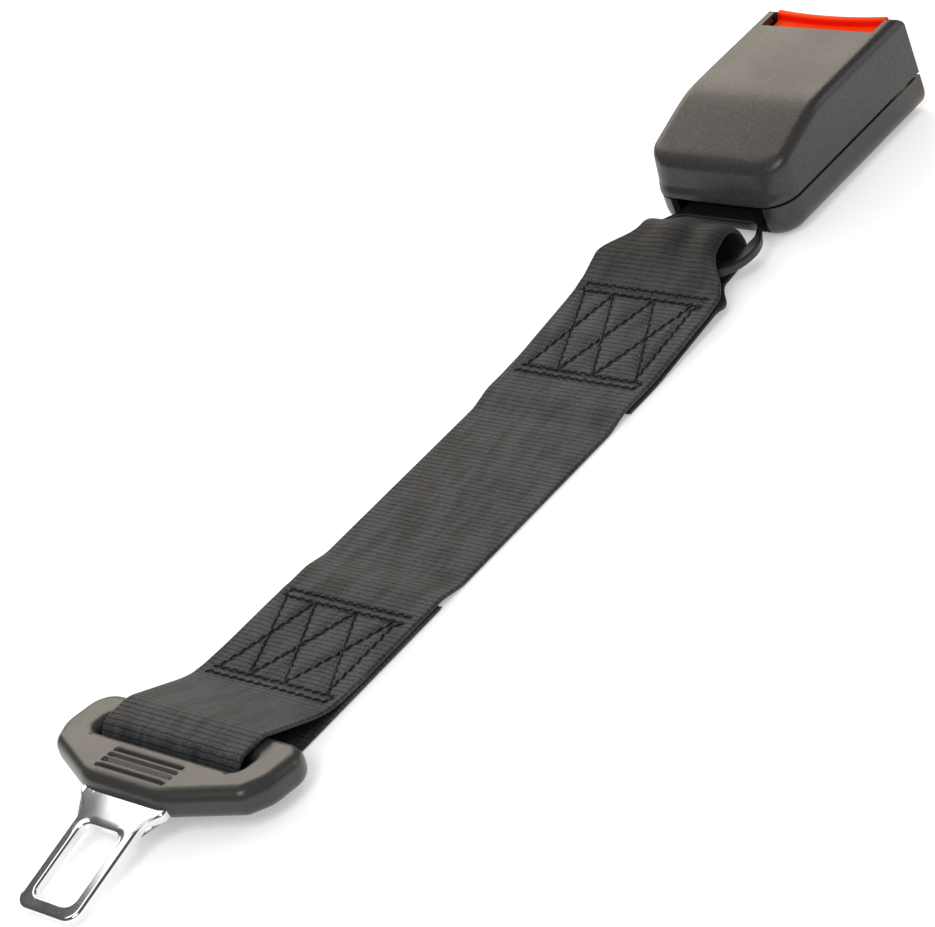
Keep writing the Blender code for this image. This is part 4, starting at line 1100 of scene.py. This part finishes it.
button = {
    "half": 18.5 * mm,
    "bow": 1.5 * mm,
    "bowStart": 81.5 * mm,
    "bowLength": 5.5 * mm,
    # its side view, in mm, as x from the anchor's bar and height from the floor
    "lipHeight": 29.0,
    "trough": 26.6,
    "front": 89.5,
    "rear": 66.6,
    "low": 14.45,
    "ramp": [(59.1, 13.05, 0.1), (85, 13.05, 0.2), (85, 18, 0.2), (66.3, 18, 1), (59.1, 13.55, 0.1)],
    "ear": [(72.1, 15.5, 0.3), (80.3, 15.5, 0.3), (80.3, 21.4, 0.3), (72.1, 21.4, 0.3)],
    # y of the side walls, ramps and ears, in mm
    "wallSpan": (15.3, 18.5),
    "rampSpan": (11.8, 14.9),
    "earSpan": (18.2, 20.5),
}


# The button: a scooped cap carried across the mouth, its side walls and the two ramps behind it.
def buildButton():
    g, half = button, button["half"]
    low, front, rear, high, trough = (g[k] for k in ("low", "front", "rear", "lipHeight", "trough"))
    cap = softProfile(
        [
            (84.0, low, 0.2), (front, low, 1.0), (front, high, 0.8), (87.7, high, 0.8),
            (87.0, trough, 1.0), (85.5, trough, 0.3), (84.2, trough, 0.3),
            (rear, trough, 0.2), (rear, 22.4, 0.2), (84.0, 22.4, 0.6),
        ]
    )
    pieces = [carried("buttonCap", cap, -half, half, 0.5 * mm, bow=g["bow"])]
    wall = softProfile([(rear, low, 0.4), (84.2, low, 0.2), (84.2, 23, 0.2), (rear, 23, 0.2)])
    ramp, ear = softProfile(g["ramp"]), softProfile(g["ear"])
    for side in (-1, 1):
        for profile, span in ((wall, "wallSpan"), (ramp, "rampSpan"), (ear, "earSpan")):
            near, far = sorted(side * y * mm for y in g[span])
            pieces.append(carried("buttonWall", profile, near, far, 0.15 * mm))
    piece = joined("releaseButton", pieces)
    dress(piece, "button", "button", "button_plastic", "release_button")


buildUpperShell()
buildLowerShell()
buildAnchor()
buildButton()

# Finishes of the CAD nodes that stay as they are, inside the casing
cadFinishes = {
    "steel": "buckle_frame spring_bridge latch_lever latch_pivot_pin anchor_rivet_left anchor_rivet_right",
    "ejector": "ejector",
    "spring": "latch_spring ejector_spring button_spring_left button_spring_right",
}
for finish, nodeNames in cadFinishes.items():
    for nodeName in nodeNames.split():
        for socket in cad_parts[nodeName].material_slots:
            socket.material = finishes[finish]
print("buckle made")


# Floor and light
studio = {
    "floorTone": (0.86, 0.86, 0.86),
    "floorHalf": 3.0,
    "floorDrop": 0.2 * mm,  # below the object, so no faces lie in one plane
    "floorGlow": 0.34,  # seen by the camera and in reflections only
    "world": 0.62,
    "mirrored": 0.1,  # the world in reflections, as in a dim room with a few softboxes
    "lamps": [  # place, aim, roll in degrees, size, power and colour
        ((0.62, 0.95, 0.62), (0, 0, 0), 0, (1.3, 0.7), 8.6, (1.0, 0.9, 0.77)),
        ((0.86, -0.71, 0.43), (0.14, 0, 0), 0, (0.4, 0.6), 1.3, (1, 1, 1)),
        ((0.0245, 0.793, 0.965), (-0.165, 0, 0), 30, (0.5, 0.3), 0.7, (1, 1, 1)),
        ((-0.7, -0.3, 1.0), (0, 0, 0), 0, (0.5, 0.5), 4.4, (1, 1, 1)),
    ],
}


def buildStudio():
    mesh = bpy.data.meshes.new("studioFloor")
    half = studio["floorHalf"]
    corners = [(-half, -half, 0), (half, -half, 0), (half, half, 0), (-half, half, 0)]
    mesh.from_pydata(corners, [], [(0, 1, 2, 3)])
    floor = bpy.data.objects.new("studioFloor", mesh)
    view.collection.objects.link(floor)
    floor.location = (0, 0, -studio["floorDrop"])
    material, tree, links, shader = newMaterial("paleFloor")
    nodes = tree.nodes
    tone = (*studio["floorTone"], 1)
    setInputs(shader, {"Base Color": tone, "Roughness": 0.9, "Specular IOR Level": 0.1})
    glow = nodes.new("ShaderNodeEmission")
    path = nodes.new("ShaderNodeLightPath").outputs
    seen = mathNode(tree, "MAXIMUM", path["Is Camera Ray"], path["Is Glossy Ray"])
    seen = mathNode(tree, "MAXIMUM", seen, path["Is Transmission Ray"])
    links.new(times(tree, seen, studio["floorGlow"]), glow.inputs["Strength"])
    both = nodes.new("ShaderNodeAddShader")
    links.new(shader.outputs[0], both.inputs[0])
    links.new(glow.outputs[0], both.inputs[1])
    links.new(both.outputs[0], nodes["Material Output"].inputs["Surface"])
    mesh.materials.append(material)

    world = bpy.data.worlds.new("studioWorld")
    view.world = world
    world.use_nodes = True
    tree = world.node_tree
    background = tree.nodes["Background"]
    background.inputs["Color"].default_value = (1, 1, 1, 1)
    path = tree.nodes.new("ShaderNodeLightPath").outputs
    seen = mathNode(tree, "MAXIMUM", path["Is Camera Ray"], path["Is Transmission Ray"])
    strength = times(tree, seen, 1 - studio["world"])
    strength = plus(tree, strength, studio["world"])
    dimmer = times(tree, path["Is Glossy Ray"], studio["world"] - studio["mirrored"])
    strength = mathNode(tree, "SUBTRACT", strength, dimmer)
    tree.links.new(strength, background.inputs["Strength"])

    for i, (place, aim, roll, size, power, colour) in enumerate(studio["lamps"]):
        data = bpy.data.lights.new(f"softbox{i}", "AREA")
        data.shape = "RECTANGLE"
        data.size, data.size_y = size
        data.energy = power
        data.color = colour
        lamp = bpy.data.objects.new(f"softbox{i}", data)
        direction = Vector(place) - Vector(aim)
        turn = direction.to_track_quat("Z", "Y").to_matrix().to_4x4()
        roll = Matrix.Rotation(math.radians(roll), 4, "Z")
        lamp.matrix_world = Matrix.Translation(place) @ turn @ roll
        view.collection.objects.link(lamp)


buildStudio()
print("studio ready")
